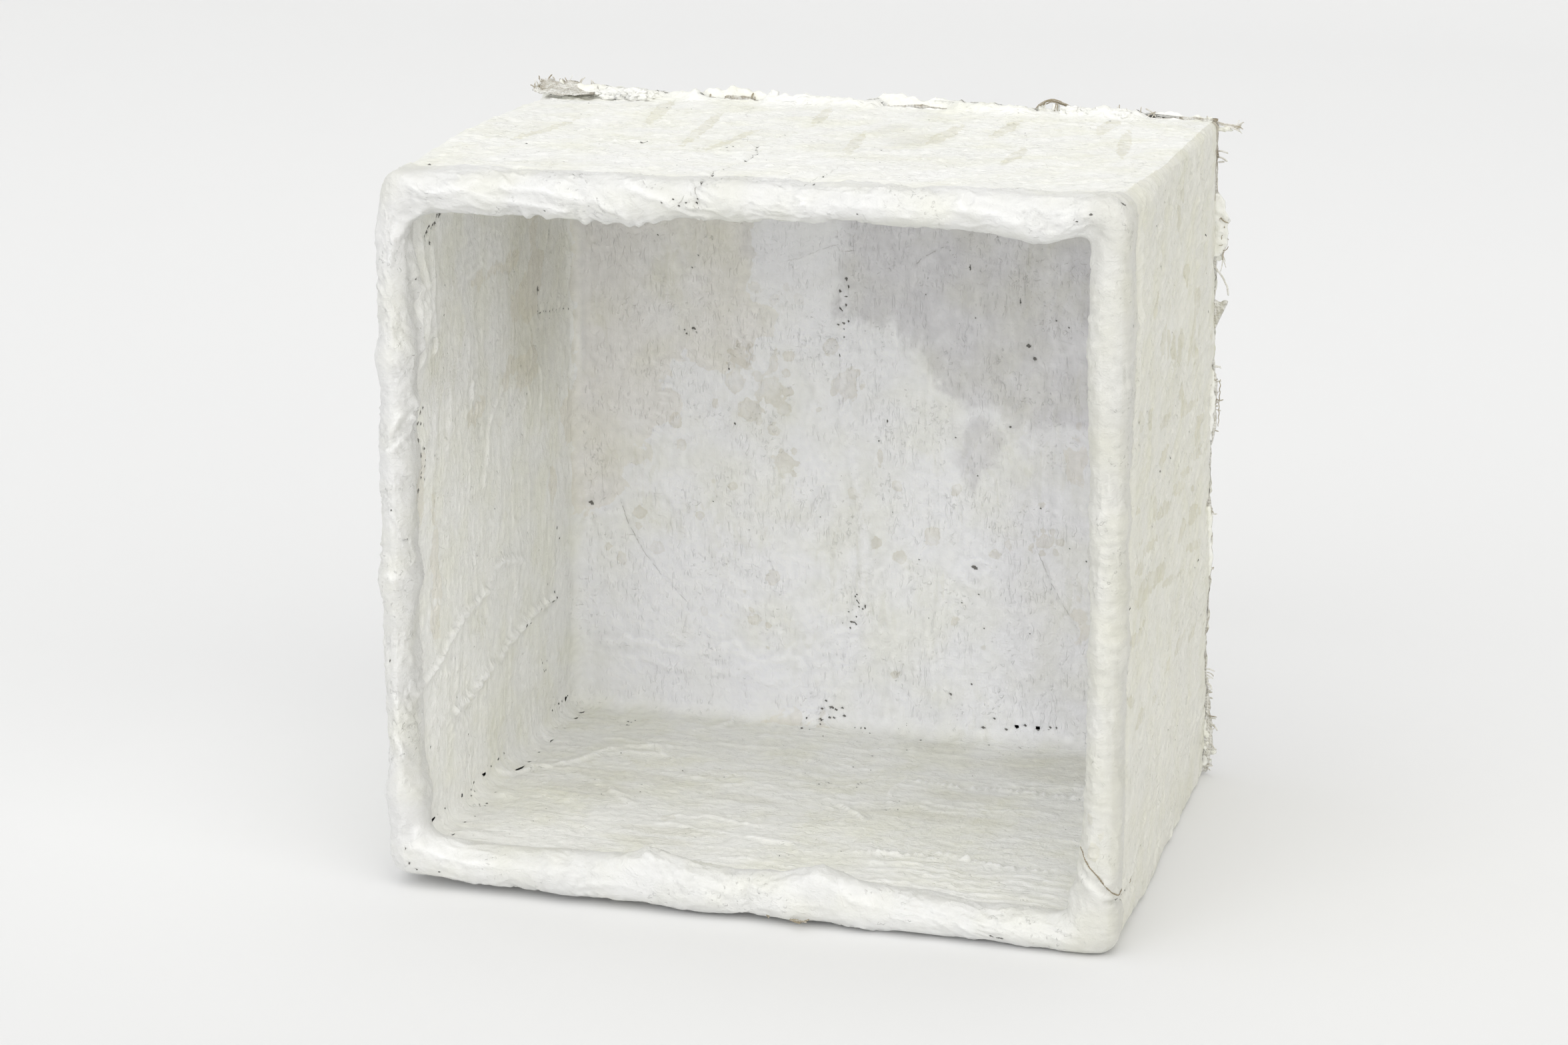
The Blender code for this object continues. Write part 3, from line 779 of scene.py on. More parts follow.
def mark_left_wall():
    """The inner left wall: holes in the scrim beside the bead, rows of bumps, drips and brown patches."""
    wall = left_in
    for y, z, reach_y, reach_z in [(-182, 477, 1.0, 1.6), (-191, 467, 1.0, 1.4), (-158, 463, 1.4, 5.5),
                                   (-150, 488, 2.2, 1.6), (-180, 422, 1.2, 1.6), (-194, 400, 1.0, 3.4),
                                   (-122, 427, 0.9, 1.0), (-151, 323, 1.6, 1.4), (-151, 307, 1.2, 1.6),
                                   (-166, 92, 1.0, 1.2), (-164, 40, 0.9, 0.9), (-36, 36, 0.9, 0.9),
                                   (-100, 30, 0.7, 0.8), (142, 34, 0.9, 0.7), (172, 30, 0.8, 0.7),
                                   (152, 190, 1.2, 1.6), (158, 178, 1.6, 1.4), (206, 176, 1.4, 2.4)]:
        wall.pit(y, z, reach_y, reach_z)
    # A large ragged hole under the top corner, and folds of scrim round it.
    for step in range(9):
        wall.pit(-156 + step * 4.2, 494 + 1.6 * step + rng.uniform(-2, 2), 2.6, 1.2, 35, 1.6)
    crumple = [(-196, 500), (-188, 470), (-178, 448), (-186, 424), (-174, 404), (-162, 396)]
    wall.ridge(crumple, 7, 3.4, 0.4, 5, 30)
    wall.ridge([(-170, 498), (-164, 474), (-158, 452), (-164, 430), (-156, 410)], 5, 2.6, -0.4, 4, 31)
    wall.ridge([(-150, 490), (-146, 466), (-150, 444), (-143, 418)], 3.5, 1.8, 0.4, 3, 32)
    wall.ridge([(-186, 462), (-170, 456), (-152, 460)], 4, 2.0, 0.3, 3, 33)
    wall.ridge([(-160, 418), (-145, 417), (-141, 410), (-148, 400)], 2.6, 2.2, 0.3, 1, 34)
    for y, z in [(-182, 446), (-172, 430), (-168, 414), (-176, 474), (-160, 480), (-150, 446), (-188, 436)]:
        wall.blob(y, z, rng.uniform(3, 6), rng.uniform(3, 7), rng.uniform(-3.2, -1.6), rng.uniform(0, 90))
    # The long slit beside the bead, with a row of dark dashes along it.
    wall.pit(-184, 355, 2.4, 8.5, 4, 3.0)
    for z in np.arange(304, 382, 6.2):
        reach = rng.uniform(1.6, 2.9)
        wall.pit(-179 + rng.uniform(-6, 6), z + rng.uniform(-2, 2), reach, reach * 0.8, 30, 1.0)
    for z in np.arange(308, 372, 8.0):
        wall.pit(-170 + rng.uniform(-4, 4), z + rng.uniform(-3, 3), 1.2, 1.6, 10, 0.6)
    wall.ridge([(-208, 380), (-200, 372), (-190, 374), (-180, 366)], 4, 2.6, 0.4, 2, 35)
    wall.ridge([(-210, 366), (-198, 364), (-190, 366)], 3, 2.2, -0.4, 2, 36)
    # The edges of scrim strips under the plaster.
    first = [(-196, 144), (-168, 152), (-136, 160), (-120, 170), (-100, 178), (-60, 180), (-28, 184),
             (4, 198), (36, 192), (60, 184)]
    wall.bumps(first, 4.6, 2.0, 7.0, 1.6, lean=60, fresh=0.9)
    wall.bumps([(-144, 146), (-132, 142), (-124, 140)], 4, 2.0, 4.0, 1.2)
    second = [(-112, 104), (-72, 108), (-44, 116), (4, 118), (28, 126), (52, 128), (80, 134), (124, 132),
              (148, 132)]
    wall.bumps(second, 4.8, 2.2, 6.0, 1.8, lean=50, fresh=0.9)
    wall.ridge([(28, 122), (52, 126), (80, 131), (124, 130), (150, 131)], 3.2, 2.0, 0.4, 2, 37)
    for y in (58, 66, 98, 122, 134):
        wall.pit(y, 130 + rng.uniform(-3, 3), 3.0, 1.2, 20, 1.4)
    wall.bumps([(-204, 342), (-44, 342)], 7, 1.0, 4.0, 0.7)
    wall.bumps([(-64, 336), (-28, 336)], 5, 1.4, 4.0, 1.0)
    wall.bumps([(36, 336), (112, 336)], 6, 1.4, 4.0, 0.8)
    # A drip that ran down, and curved strokes of the hand.
    wall.ridge([(16, 344), (0, 334), (-16, 324), (-26, 308), (-28, 292), (-34, 276), (-32, 266)],
               3.4, 2.0, 0.2, 1.5, 38)
    wall.ridge([(-28, 254), (-16, 236), (4, 226)], 2.4, 1.0, 0.3, 1, 39)
    wall.ridge([(-48, 366), (-66, 360), (-66, 350), (-60, 346)], 2.4, 1.3, 0.3, 1, 40)
    wall.ridge([(66, 324), (70, 316), (64, 308)], 2.2, 1.2, 0.3, 1, 41)
    wall.ridge([(84, 364), (86, 350), (82, 340)], 2.2, 1.4, 0.3, 1, 42)
    wall.ridge([(108, 340), (112, 318), (108, 300)], 3.0, 1.4, 0.3, 1, 43)
    for shift in range(5):
        z = 476 - 7 * shift
        wall.ridge([(-100, z - 10), (-70, z), (-30, z + 2), (20, z - 10)], 2.4, 0.6, 0.2, 3, 44 + shift)
    for turn in range(4):
        reach = 18 + 9 * turn
        arc = [(-115 + reach * math.cos(a), 70 + reach * math.sin(a)) for a in np.linspace(0.3, 2.6, 7)]
        wall.ridge(arc, 2.4, 0.7, 0.2, 2, 50 + turn)
    # Where the wall meets the back, a strip stands out.
    wall.ridge([(188, 500), (192, 440), (186, 400), (194, 330)], 9, 2.4, 0.2, 5, 55)
    wall.ridge([(186, 372), (196, 344), (190, 312)], 6, 1.6, 0.3, 3, 56)
    wall.pit(142, 446, 5.5, 2.6, 70, 3.0)
    wall.pit(147, 455, 1.6, 3.0, 0, 2.0)
    for step in range(5):
        wall.pit(113 + rng.uniform(-2, 3), 402 - 4.5 * step, 2.0, 3.2, 20, 2.2)
    for step in range(9):
        wall.pit(118 + step * 8, 382 - step, 1.3, 0.8, 0, 0.8)
    for y in np.arange(-86, -62, 4):
        wall.pit(y, 26 + rng.uniform(-4, 6), 1.3, 0.7, rng.uniform(-20, 20), 0.8)
    for _ in range(6):
        wall.pit(rng.uniform(106, 126), rng.uniform(72, 86), 1.2, 1.0)
    for _ in range(5):
        wall.pit(rng.uniform(118, 146), rng.uniform(131, 136), 2.2, 1.0, 10)
    scatter_pits(wall, (-150, 60), (170, 480), 26, 0.6)
    strew(wall.blob, 60, (-170, 180), (40, 500), (2.5, 6), (14, 45), (-0.9, 1.3), (-25, 25), fresh=0.25)
    # Brown plaster that shows between the strokes.
    wall.region("stain", [(20, 398), (52, 412), (76, 420), (82, 432), (100, 436), (124, 432), (116, 412),
                          (112, 388), (100, 380), (76, 376), (60, 392)])
    wall.region("stain", [(84, 500), (110, 500), (112, 470), (104, 436), (88, 436)])
    for y, z, reach_y, reach_z, tilt in [(-46, 336, 18, 6, 5), (74, 338, 38, 7, 0), (192, 280, 26, 30, 0),
                                         (140, 222, 8, 18, 0), (76, 352, 26, 12, -10), (30, 350, 18, 7, 20),
                                         (-150, 230, 8, 60, 0), (10, 440, 60, 4, 3), (-178, 300, 7, 30, 0)]:
        wall.spot("stain", y, z, reach_y, reach_z, tilt)
    for patch in [("weave", -130, 380, 60, 18, 1.0), ("weave", -70, 230, 80, 50, 0.6), ("weave", -150, 300,
                  34, 60, 0.7), ("dirt", -180, 350, 26, 60, 1.0), ("dirt", -170, 440, 40, 60, 0.8), ("dirt",
                  120, 400, 30, 60, 0.7), ("dim", -20, 420, 200, 110, 0.8), ("tan_and_side_shade", 100, 410, 90, 110, 0.8)]:
        wall.patch(*patch)


DROPS = [(-113, 337, 9), (-118, 316, 9), (-135, 297, 4), (-170, 279, 6), (-165, 258, 4.5), (-105, 292, 10),
         (-88, 312, 10), (-98, 321, 5), (-73, 340, 5), (-74, 326, 4), (-73, 309, 5), (-76, 294, 6),
         (-85, 277, 5), (-75, 248, 9), (-85, 147, 6.5), (-120, 225, 3.5), (-136, 228, 2.5), (-149, 197, 3.5),
         (-187, 166, 6), (-202, 196, 6), (-203, 184, 3), (-218, 154, 5), (-230, 164, 3), (-145, 112, 4),
         (-130, 109, 1.8), (-101, 109, 5), (-89, 105, 2), (-103, 117, 1.8), (-89, 85, 2), (-110, 133, 1.8),
         (-84, 388, 4.5), (-74, 399, 3), (-63, 389, 5), (-100, 398, 5), (-36, 350, 7), (-22, 318, 10),
         (-46, 296, 3), (-30, 318, 5), (-16, 226, 5), (22, 234, 5), (72, 235, 5), (4, 184, 5), (25, 173, 6),
         (52, 193, 7.5), (105, 181, 4), (117, 190, 4), (147, 196, 7), (144, 227, 3), (72, 120, 4),
         (96, 99, 2), (21, 69, 3), (156, 187, 2.4), (135, 188, 2.4)]


def mark_back():
    """The inside of the back: beige and grey patches, splashed drops, scratches and the print of scrim."""
    wall = back_in
    wall.region("stain", [(-262, 192), (-250, 192), (-220, 196), (-216, 220), (-214, 236), (-196, 242),
                          (-195, 272), (-180, 282), (-166, 292), (-168, 302), (-180, 308), (-184, 316),
                          (-172, 328), (-160, 336), (-132, 328), (-108, 328), (-108, 344), (-94, 356),
                          (-80, 376), (-102, 392), (-104, 444), (-100, 540), (-262, 540)])
    wall.region("cloud", [(-36, 540), (-30, 404), (-32, 380), (0, 376), (40, 352), (52, 328), (64, 312),
                          (100, 308), (120, 296), (176, 296), (262, 290), (262, 540)])
    wall.region("cloud", [(-108, 540), (-106, 440), (-96, 402), (-70, 396), (-34, 404), (-30, 540)])
    wall.patch("dim", 190, 180, 90, 200, 1.0)
    wall.patch("dim", 120, 420, 140, 90, 0.5)
    wall.region("cloud", [(72, 290), (92, 296), (108, 284), (104, 258), (84, 244), (72, 262)])
    wall.patch("fresh", -68, 460, 44, 110, 1.0)
    wall.patch("fresh", -176, 400, 30, 60, 0.5)
    wall.patch("fresh", -206, 250, 18, 40, 0.5)
    wall.patch("fresh", -180, 120, 60, 60, 0.7)
    wall.patch("fresh", -140, 52, 100, 34, 1.0)
    for x, z, size in DROPS:
        stretch = rng.uniform(0.82, 1.2)
        wall.spot("drops", x, z, size * stretch, size / stretch, rng.uniform(0, 90))
    wall.spot("drops", -85, 335, 3, 13, -15)
    wall.spot("drops", -88, 304, 4, 14, 40)
    wall.spot("drops", 7, 258, 1.8, 8)
    wall.spot("drops", -22, 326, 13, 5, 25)
    for x, z in [(-105, 292), (-88, 312), (-22, 318), (-75, 248), (147, 196), (-113, 337)]:
        for turn in np.arange(0, 6.28, 0.9):
            reach = rng.uniform(8, 14)
            wall.spot("drops", x + reach * math.cos(turn), z + reach * math.sin(turn), rng.uniform(1.5, 3.2))
    for x, z, reach_x, reach_z in [(172, 268, 9, 24), (178, 127, 7, 22), (246, 190, 10, 40),
                                   (-60, 20, 30, 6)]:
        wall.spot("stain", x, z, reach_x, reach_z)
    # Scratches, a hair and cloth edges drawn through the wet plaster.
    wall.ridge([(-220, 208), (-210, 180), (-196, 158), (-178, 138), (-160, 120)], 1.6, -0.8, 0, 1, 60)
    wall.ridge([(-78, 424), (-60, 429), (-44, 434), (-32, 435)], 1.3, -0.8, 0, 0.6, 61)
    for shift in (-3, 0, 2.5, 5):
        wall.line([(-80, 422 + shift), (-60, 428 + shift * 0.8), (-44, 433), (-30, 436 - shift * 0.5)], 0.9)
    wall.ridge([(34, 422), (44, 432), (60, 440)], 1.3, -0.8, 0, 0.6, 62)
    wall.line([(34, 422), (42, 431), (60, 440)], 0.9)
    for step in range(8):
        z = 431 + 2.6 * step
        wall.line([(-34 + rng.uniform(-3, 3), z), (-24, z + 1.5), (-14 + rng.uniform(-3, 3), z + 2)], 1.0)
    for _ in range(34):
        x, z = rng.uniform((98, 414), (176, 434))
        turn = rng.uniform(-1.2, 1.2)
        reach = rng.uniform(4, 11)
        wall.line([(x, z), (x + reach * math.cos(turn), z + reach * math.sin(turn))], rng.uniform(0.4, 0.8))
    wall.bumps([(96, 428), (130, 424), (172, 420), (210, 412)], 4.2, 1.4, 3.4, 0.5, fresh=0)
    wall.pit(82, 424, 0.9, 2.6, 0, 0.6)
    wall.pit(124, 398, 0.8, 3.4, -12, 0.6)
    for x, z, reach_x, reach_z in [(131, 361, 2.4, 2.0), (135, 351, 2.4, 1.5), (-25, 371, 2.0, 1.2),
                                   (12, 290, 1.1, 3.0), (116, 292, 1.2, 1.2), (-119, 279, 1.0, 1.0),
                                   (-124, 327, 0.9, 0.9), (-245, 201, 3.0, 2.0), (-163, 358, 1.0, 1.0),
                                   (-160, 354, 1.2, 1.0), (-156, 360, 1.0, 1.0), (-152, 355, 1.0, 1.0),
                                   (-154, 359, 1.0, 1.0), (68, 56, 1.6, 1.2), (88, 168, 3.6, 2.0)]:
        wall.pit(x, z, reach_x, reach_z, rng.uniform(-30, 30))
    # The seam between two strips of scrim, down the middle, with its curls and specks.
    seam = [(-26, 404), (-24, 372), (-27, 340), (-25, 304), (-18, 264), (-10, 220), (-4, 168), (-10, 130),
            (-14, 108), (-20, 72)]
    wall.bumps(seam, 4.4, 1.6, 5.0, 1.1, lean=35)
    wall.ridge(seam, 5, 0.8, 0.3, 3, 63)
    for _ in range(16):
        wall.pit(rng.uniform(-20, -4), rng.uniform(106, 140), 0.9, 0.8)
    for _ in range(14):
        wall.pit(rng.uniform(-32, -20), rng.uniform(330, 410), 1.3, 0.8, rng.uniform(0, 90), 0.5)
    wall.bumps([(-34, 376), (-10, 372), (20, 366), (44, 356)], 5, 1.6, 5.0, 1.3)
    wall.bumps([(-30, 356), (40, 356)], 5, 1.0, 3.4, 0.9)
    wall.bumps([(-120, 352), (-104, 364), (-98, 384), (-102, 404)], 4.0, 1.5, 3.5, 0.7, fresh=0)
    wall.bumps([(-40, 232), (-56, 192)], 5, 1.4, 7.0, 1.0, lean=90)
    wall.bumps([(-20, 158), (40, 158)], 4, 1.2, 3.0, 0.8)
    wall.bumps([(-190, 330), (-178, 312), (-182, 290), (-190, 262)], 4.5, 1.4, 4.0, 1.0)
    wall.ridge([(145, 180), (152, 162), (160, 146), (176, 120)], 1.5, -0.8, 0, 1, 64)
    loop = [(90 + 16 * math.cos(a), 164 + 12 * math.sin(a)) for a in np.linspace(0.4, 5.6, 12)]
    wall.ridge(loop, 2.2, 1.0, 0.3, 1.5, 65)
    for x, z, reach, tilt in [(2, 150, 12, 60), (-2, 142, 10, -30), (6, 160, 9, 20), (30, 262, 14, 80)]:
        wall.blob(x, z, reach, 1.8, 1.1, tilt)
    for turn in range(7):
        reach = 96 + 11 * turn
        arc = [(-90 + reach * math.cos(a), 215 + reach * math.sin(a)) for a in np.linspace(3.6, 5.6, 9)]
        wall.ridge(arc, 3.2, 0.5, 0.2, 4, 66 + turn)
    # The foot of the wall: a smear with a wavy upper edge, and holes in the joint with the floor.
    smear = [(-236, 76), (-214, 84), (-180, 78), (-150, 74), (-120, 84), (-96, 72), (-70, 82), (-52, 64)]
    wall.ridge(smear, 5, 2.0, -0.5, 4, 74)
    wall.ridge([(-230, 60), (-190, 64), (-150, 54), (-110, 60), (-76, 52)], 6, 1.4, 0.4, 4, 75)
    for _ in range(9):
        wall.pit(rng.uniform(-42, -22), rng.uniform(26, 42), rng.uniform(1.0, 2.0), 1.0)
    for x in np.arange(98, 170, 9):
        wall.pit(x + rng.uniform(-2, 2), rng.uniform(27, 37), rng.uniform(1.2, 2.4), 1.2, 0, 1.2)
    for _ in range(8):
        wall.pit(rng.uniform(-64, -38), rng.uniform(19, 27), rng.uniform(1.2, 2.6), 1.1, 0, 1.2)
    scatter_pits(wall, (-230, 50), (240, 500), 40, 0.55)
    for x, z, reach_x, reach_z, strength in [(46, 234, 20, 34, 1.0), (60, 292, 24, 24, 0.8),
                                             (0, 208, 28, 20, 0.8), (84, 180, 40, 26, 0.8),
                                             (90, 84, 76, 32, 0.5), (-160, 230, 40, 60, 0.35),
                                             (140, 260, 50, 50, 0.5), (-70, 130, 60, 50, 0.3)]:
        wall.patch("weave", x, z, reach_x, reach_z, strength)
    wall.patch("dirt", 40, 400, 150, 60, 0.7)
    wall.patch("dirt", 90, 150, 80, 50, 0.7)
    wall.patch("dirt", -14, 200, 34, 200, 0.6)
    wall.patch("dirt", 60, 30, 150, 22, 1.0)


def mark_floor():
    """The inner floor: ridges of dragged plaster, two rows of bumps, and holes."""
    floor = floor_in
    floor.ridge([(-264, -24), (-252, -4), (-236, 20), (-220, 28), (-204, 56), (-194, 76), (-176, 88),
                 (-158, 94), (-150, 82), (-132, 66)], 4, 2.4, 0.4, 3, 80)
    floor.ridge([(-144, 146), (-130, 160), (-116, 180), (-120, 196)], 4, 1.8, 0.3, 2, 81)
    floor.ridge([(-188, 4), (-168, -12), (-148, -36), (-136, -52)], 4, 2.2, 0.3, 3, 82)
    floor.ridge([(20, 2), (30, -8), (40, -20), (48, -32)], 3, 2.4, 0.3, 1, 83)
    floor.ridge([(-32, -92), (-8, -100), (16, -96)], 4, 1.6, 0.3, 2, 84)
    floor.ridge([(54, 100), (60, 72), (54, 44), (60, 8)], 2, 1.0, 0.2, 1, 85)
    floor.bumps([(62, 72), (110, 71), (160, 70), (200, 68)], 5, 1.8, 3.6, 1.8, fresh=0.9)
    floor.bumps([(200, 68), (252, 70)], 5, 1.8, 3.6, 1.5, fresh=0.8)
    floor.bumps([(60, -100), (92, -96), (120, -88), (140, -90), (172, -100), (208, -100)], 5.5, 2, 3.6, 1.6,
                fresh=0.8)
    for shift in range(5):
        y = -122 - 14 * shift
        floor.ridge([(72, y), (112, y + 9), (150, y - 4), (192, y + 7), (232, y - 3)], 3, 1.0, 0.3, 4,
                    86 + shift)
    for shift in range(6):
        y = 150 - 26 * shift
        floor.ridge([(-90, y), (-50, y + 10), (-4, y - 6), (40, y + 6)], 5, 0.8, 0.3, 6, 92 + shift)
    floor.blob(-88, -172, 18, 9, 2.6)
    floor.blob(42, -164, 20, 9, 2.6)
    floor.blob(-240, -56, 9, 8, 3.0)
    floor.blob(-142, 2, 8, 6, 1.8)
    floor.pit(-142, 2, 1.6, 1.1)
    floor.pits([(-94, 60), (-78, 53), (-12, 61), (8, 100), (16, 138), (18, 153), (22, 158), (60, 1),
                (92, -153), (208, -158), (-122, 48), (-214, -172), (-204, -181), (-246, -112), (6, -124)],
               1.1)
    floor.pit(-230, -166, 2.6, 3.8, 20, 1.6)
    for low, high, count in [((-215, 150), (-196, 170), 7), ((-8, 48), (2, 56), 5), ((22, 40), (26, 62), 6),
                             ((-254, -96), (-244, -76), 5), ((-12, 186), (4, 196), 5),
                             ((-60, 184), (-34, 196), 5)]:
        scatter_pits(floor, low, high, count, 0.9)
    scatter_pits(floor, (-200, -120), (240, 180), 22, 0.6)
    for x, y in [(-56, 204), (-46, 200), (-38, 207), (-50, 196), (100, 200), (140, 204), (170, 198)]:
        floor.blob(x, y, rng.uniform(4, 8), 4, rng.uniform(1.5, 2.8), rng.uniform(0, 90))
    floor.spot("drops", -101, -67, 6)
    floor.patch("tan_and_side_shade", 190, 140, 90, 40, 0.8)
    strew(floor.blob, 70, (-250, 250), (-170, 190), (14, 50), (2.5, 6), (-0.9, 1.4), (-12, 14), fresh=0.25)
    for index in range(9):
        x, y = rng.uniform((-240, -160), (160, 160))
        steps = np.arange(5) * rng.uniform(16, 30)
        path = [(x + step, y + 5 * math.sin(step / 17 + index)) for step in steps]
        floor.ridge(path, 3, 1.1, 0.4, 4, 130 + index)
    for _ in range(8):
        floor.patch("tan_and_side_shade", *rng.uniform((-240, -150), (240, 180)), rng.uniform(30, 70), rng.uniform(8, 22),
                    0.6)
    floor.patch("weave", 150, -40, 90, 60, 0.5)
    floor.patch("weave", -60, 100, 80, 60, 0.4)
    floor.patch("dirt", -200, -130, 60, 50, 0.8)
    floor.patch("dirt", 60, 130, 160, 60, 0.6)


# Blotches on the right outer wall: y, z, half length, half height, tilt.
BLOTCHES = [(-168, 180, 18, 5, -20), (-132, 158, 24, 5, 5), (-60, 150, 22, 3, 0), (-2, 159, 20, 3, 8),
            (64, 158, 28, 6, 5), (128, 147, 35, 3, 5), (-160, 226, 45, 5, -12), (-116, 250, 60, 10, -3),
            (-48, 244, 40, 8, -6), (0, 226, 35, 4, -8), (60, 250, 28, 8, 3), (120, 248, 28, 9, -5),
            (120, 222, 50, 4, -10), (-28, 290, 35, 6, -8), (36, 290, 40, 5, -10), (76, 294, 25, 4, -8),
            (120, 298, 25, 5, -8), (-100, 278, 50, 4, -4), (-148, 274, 20, 5, -15), (140, 322, 25, 5, -5),
            (80, 344, 60, 4, -5), (-40, 360, 25, 5, 0)]


def mark_right_outside():
    wall = right_out
    for y, z, reach_y, reach_z, tilt in BLOTCHES:
        wall.spot("drops", y, z, reach_y * 0.8, reach_z * 0.9, tilt)
    splash = partial(wall.spot, "drops")
    strew(splash, 16, (-170, 190), (205, 350), (6, 20), (1.5, 4), (-16, 6))
    wall.region("bare", [(199, 487), (212, 487), (212, 560), (200, 560), (196, 540), (201, 520)])
    for z in np.arange(96, 160, 9):
        wall.region("bare", [(205, z), (212, z), (212, z + 5), (206, z + 4)])
    wall.patch("fresh", 0, 80, 240, 90, 0.5)
    wall.patch("dirt", 0, 500, 240, 60, 0.9)
    wall.patch("dirt", 40, 330, 200, 30, 0.6)
    wall.patch("dirt", -20, 100, 120, 14, 1.0)
    wall.ridge([(60, 382), (110, 377), (160, 379), (208, 374)], 3, 1.0, 0.5, 3, 100)
    for y, z, reach in [(-50, 324, 3), (-8, 324, 3.5), (86, 324, 3), (-90, 100, 3), (-66, 101, 2.5),
                        (8, 104, 3), (46, 99, 3), (34, 91, 2.5), (-182, 254, 2), (150, 202, 2.5),
                        (-194, 461, 2), (-115, 435, 2), (-126, 385, 2), (-84, 385, 1.6)]:
        wall.pit(y, z, reach, 1.0, rng.uniform(-12, 12), 1.2)
    wall.bumps([(-110, 98), (-60, 101), (0, 103), (60, 96), (120, 100)], 6, 1.6, 4.0, 0.9)
    wall.bumps([(-160, 326), (-60, 322), (40, 326), (190, 320)], 6, 1.6, 4.0, 0.8)
    strew(wall.blob, 170, (-180, 200), (300, 548), (6, 20), (1.4, 3.2), (-0.9, 1.7), (15, 50), fresh=0.3)
    strew(wall.blob, 70, (-180, 200), (20, 320), (8, 24), (1.4, 3.5), (-0.7, 1.1), (10, 45))
    strew(wall.blob, 90, (-180, 200), (250, 548), (3, 7), (1.4, 2.6), (0.8, 2.2), (0, 60), fresh=0.9)
    wall.patch("tan_and_side_shade", 0, 520, 240, 110, 1.3)
    for _ in range(22):
        spot = [rng.uniform(*span) for span in ((-180, 200), (20, 540), (12, 40), (5, 12))]
        wall.patch("tan_and_side_shade", *spot, 1.35, rng.uniform(20, 45))
    strew(splash, 26, (-170, 195), (300, 545), (5, 16), (4, 12), (10, 50))
    strew(wall.blob, 40, (-180, 200), (20, 400), (5, 18), (2, 5), (-0.5, 0.7), (-20, 20))
    crack = [(-222, 47), (-208, 43), (-196, 38), (-172, 36), (-144, 40), (-120, 48), (-88, 46)]
    wall.ridge(crack, 1.8, -2.0, 0, 0.8, 101)
    for y, z in crack[1:-1]:
        wall.pit(y + 4, z, 3.0, 0.7, -10, 0.5)
    wall.ridge([(-186, 30), (-184, 160), (-187, 300), (-185, 420), (-186, 530)], 4, -1.5, 0.2, 3, 102)
    wall.ridge([(-178, 400), (-172, 440), (-176, 480), (-170, 530)], 4, 1.5, 0.2, 4, 103)
    scatter_pits(wall, (-170, 30), (200, 540), 46, 0.7)


def mark_top():
    top = top_out
    for x, low, high, reach in [(-104, -40, 130, 5), (-66, -60, 60, 4), (30, -60, 60, 5), (86, 20, 120, 7),
                                (126, 60, 160, 6), (202, 100, 190, 7), (-160, 60, 180, 6), (-30, 90, 190, 5),
                                (160, -80, 20, 5), (230, -20, 120, 5), (-220, -60, 60, 4)]:
        top.spot("drops", x, (low + high) / 2, reach, (high - low) / 2, rng.uniform(-8, 8))
    top.patch("tan_and_side_shade", 72, 36, 24, 34, 0.7, 10)
    top.patch("tan_and_side_shade", 40, 90, 14, 36, 0.6, -10)
    for x, y in [(-202, -28), (-130, -36), (-76, -33), (-70, -32), (-64, -30), (54, -28), (150, -20)]:
        for _ in range(4):
            top.pit(x + rng.uniform(-6, 6), y + rng.uniform(-1.5, 1.5), rng.uniform(0.8, 2.0), 0.8)
    for y in np.arange(-45, -18, 3.4):
        top.pit(-60 + rng.uniform(-5, 5), y, 1.0, 1.2, 0, 0.7)
    seam = [(-36, -214), (-33, -190), (-37, -160), (-34, -140), (-31, -106), (-30, -64), (-40, -30)]
    top.ridge(seam, 2.0, -1.4, 0, 2.5, 110)
    top.line(seam, 1.0)
    top.line([(-40, -30), (-52, -10), (-58, 14)], 0.8)
    top.line([(44, -84), (46, -120), (44, -160), (38, -200)], 0.7)
    for _ in range(26):
        x, y = rng.uniform((-78, -60), (-44, 30))
        top.line([(x, y), (x + rng.uniform(-9, 9), y + rng.uniform(-7, 7))], rng.uniform(0.5, 1))
    for step in range(22):
        share = step / 21
        a = np.interp(share * 6, range(7), [p[0] for p in seam])
        b = np.interp(share * 6, range(7), [p[1] for p in seam])
        top.pit(a + rng.uniform(-3, 3), b, rng.uniform(0.8, 1.5), rng.uniform(1.0, 2.4), 0, 0.7)
    top.ridge([(44, -96), (46, -130), (46, -164), (36, -200)], 1.5, -0.8, 0, 2, 111)
    for y in (-150, -162, -190):
        top.pit(45, y, 0.8, 3.0, 0, 0.5)
    top.pits([(46, -72), (-144, 112), (120, -110), (180, 60), (-190, 40)], 1.0)
    top.pit(-252, -176, 2.4, 1.6, 30, 1.4)
    top.pit(272, -206, 3.0, 2.0, 40, 1.6)
    top.pit(264, -198, 1.6, 1.4, 0, 1.2)
    top.bumps([(-240, -30), (-130, -35), (-60, -33)], 6, 1.5, 4, 0.8)
    top.bumps([(-60, -33), (54, -28), (150, -20), (240, -26)], 6, 1.5, 4, 0.7)
    strew(top.blob, 130, (-265, 265), (-170, 200), (8, 26), (1.5, 4), (-0.5, 0.6), (-10, 10))
    strew(top.blob, 26, (-265, 265), (-190, 120), (1.5, 3), (1.5, 3), (0.6, 1.4))
    for x, y, reach, height in [(-250, 196, 16, 5), (-150, 196, 20, 4), (-60, 202, 24, 4), (-20, 198, 14, 3),
                                (90, 200, 20, 3), (180, 200, 24, 2.5), (120, 196, 16, 3.5)]:
        top.blob(x, y, reach, 8, height, rng.uniform(-12, 12))
    top.patch("dirt", -60, -40, 60, 120, 0.6)
    top.patch("dirt", 72, 36, 40, 50, 0.8)
    top.patch("dirt", 270, -206, 12, 12, 1.0)
    top.patch("fresh", 0, -120, 260, 50, 0.6)
    top.patch("weave", 60, 20, 200, 120, 0.35)
    scatter_pits(top, (-250, -160), (260, 190), 44, 0.7)


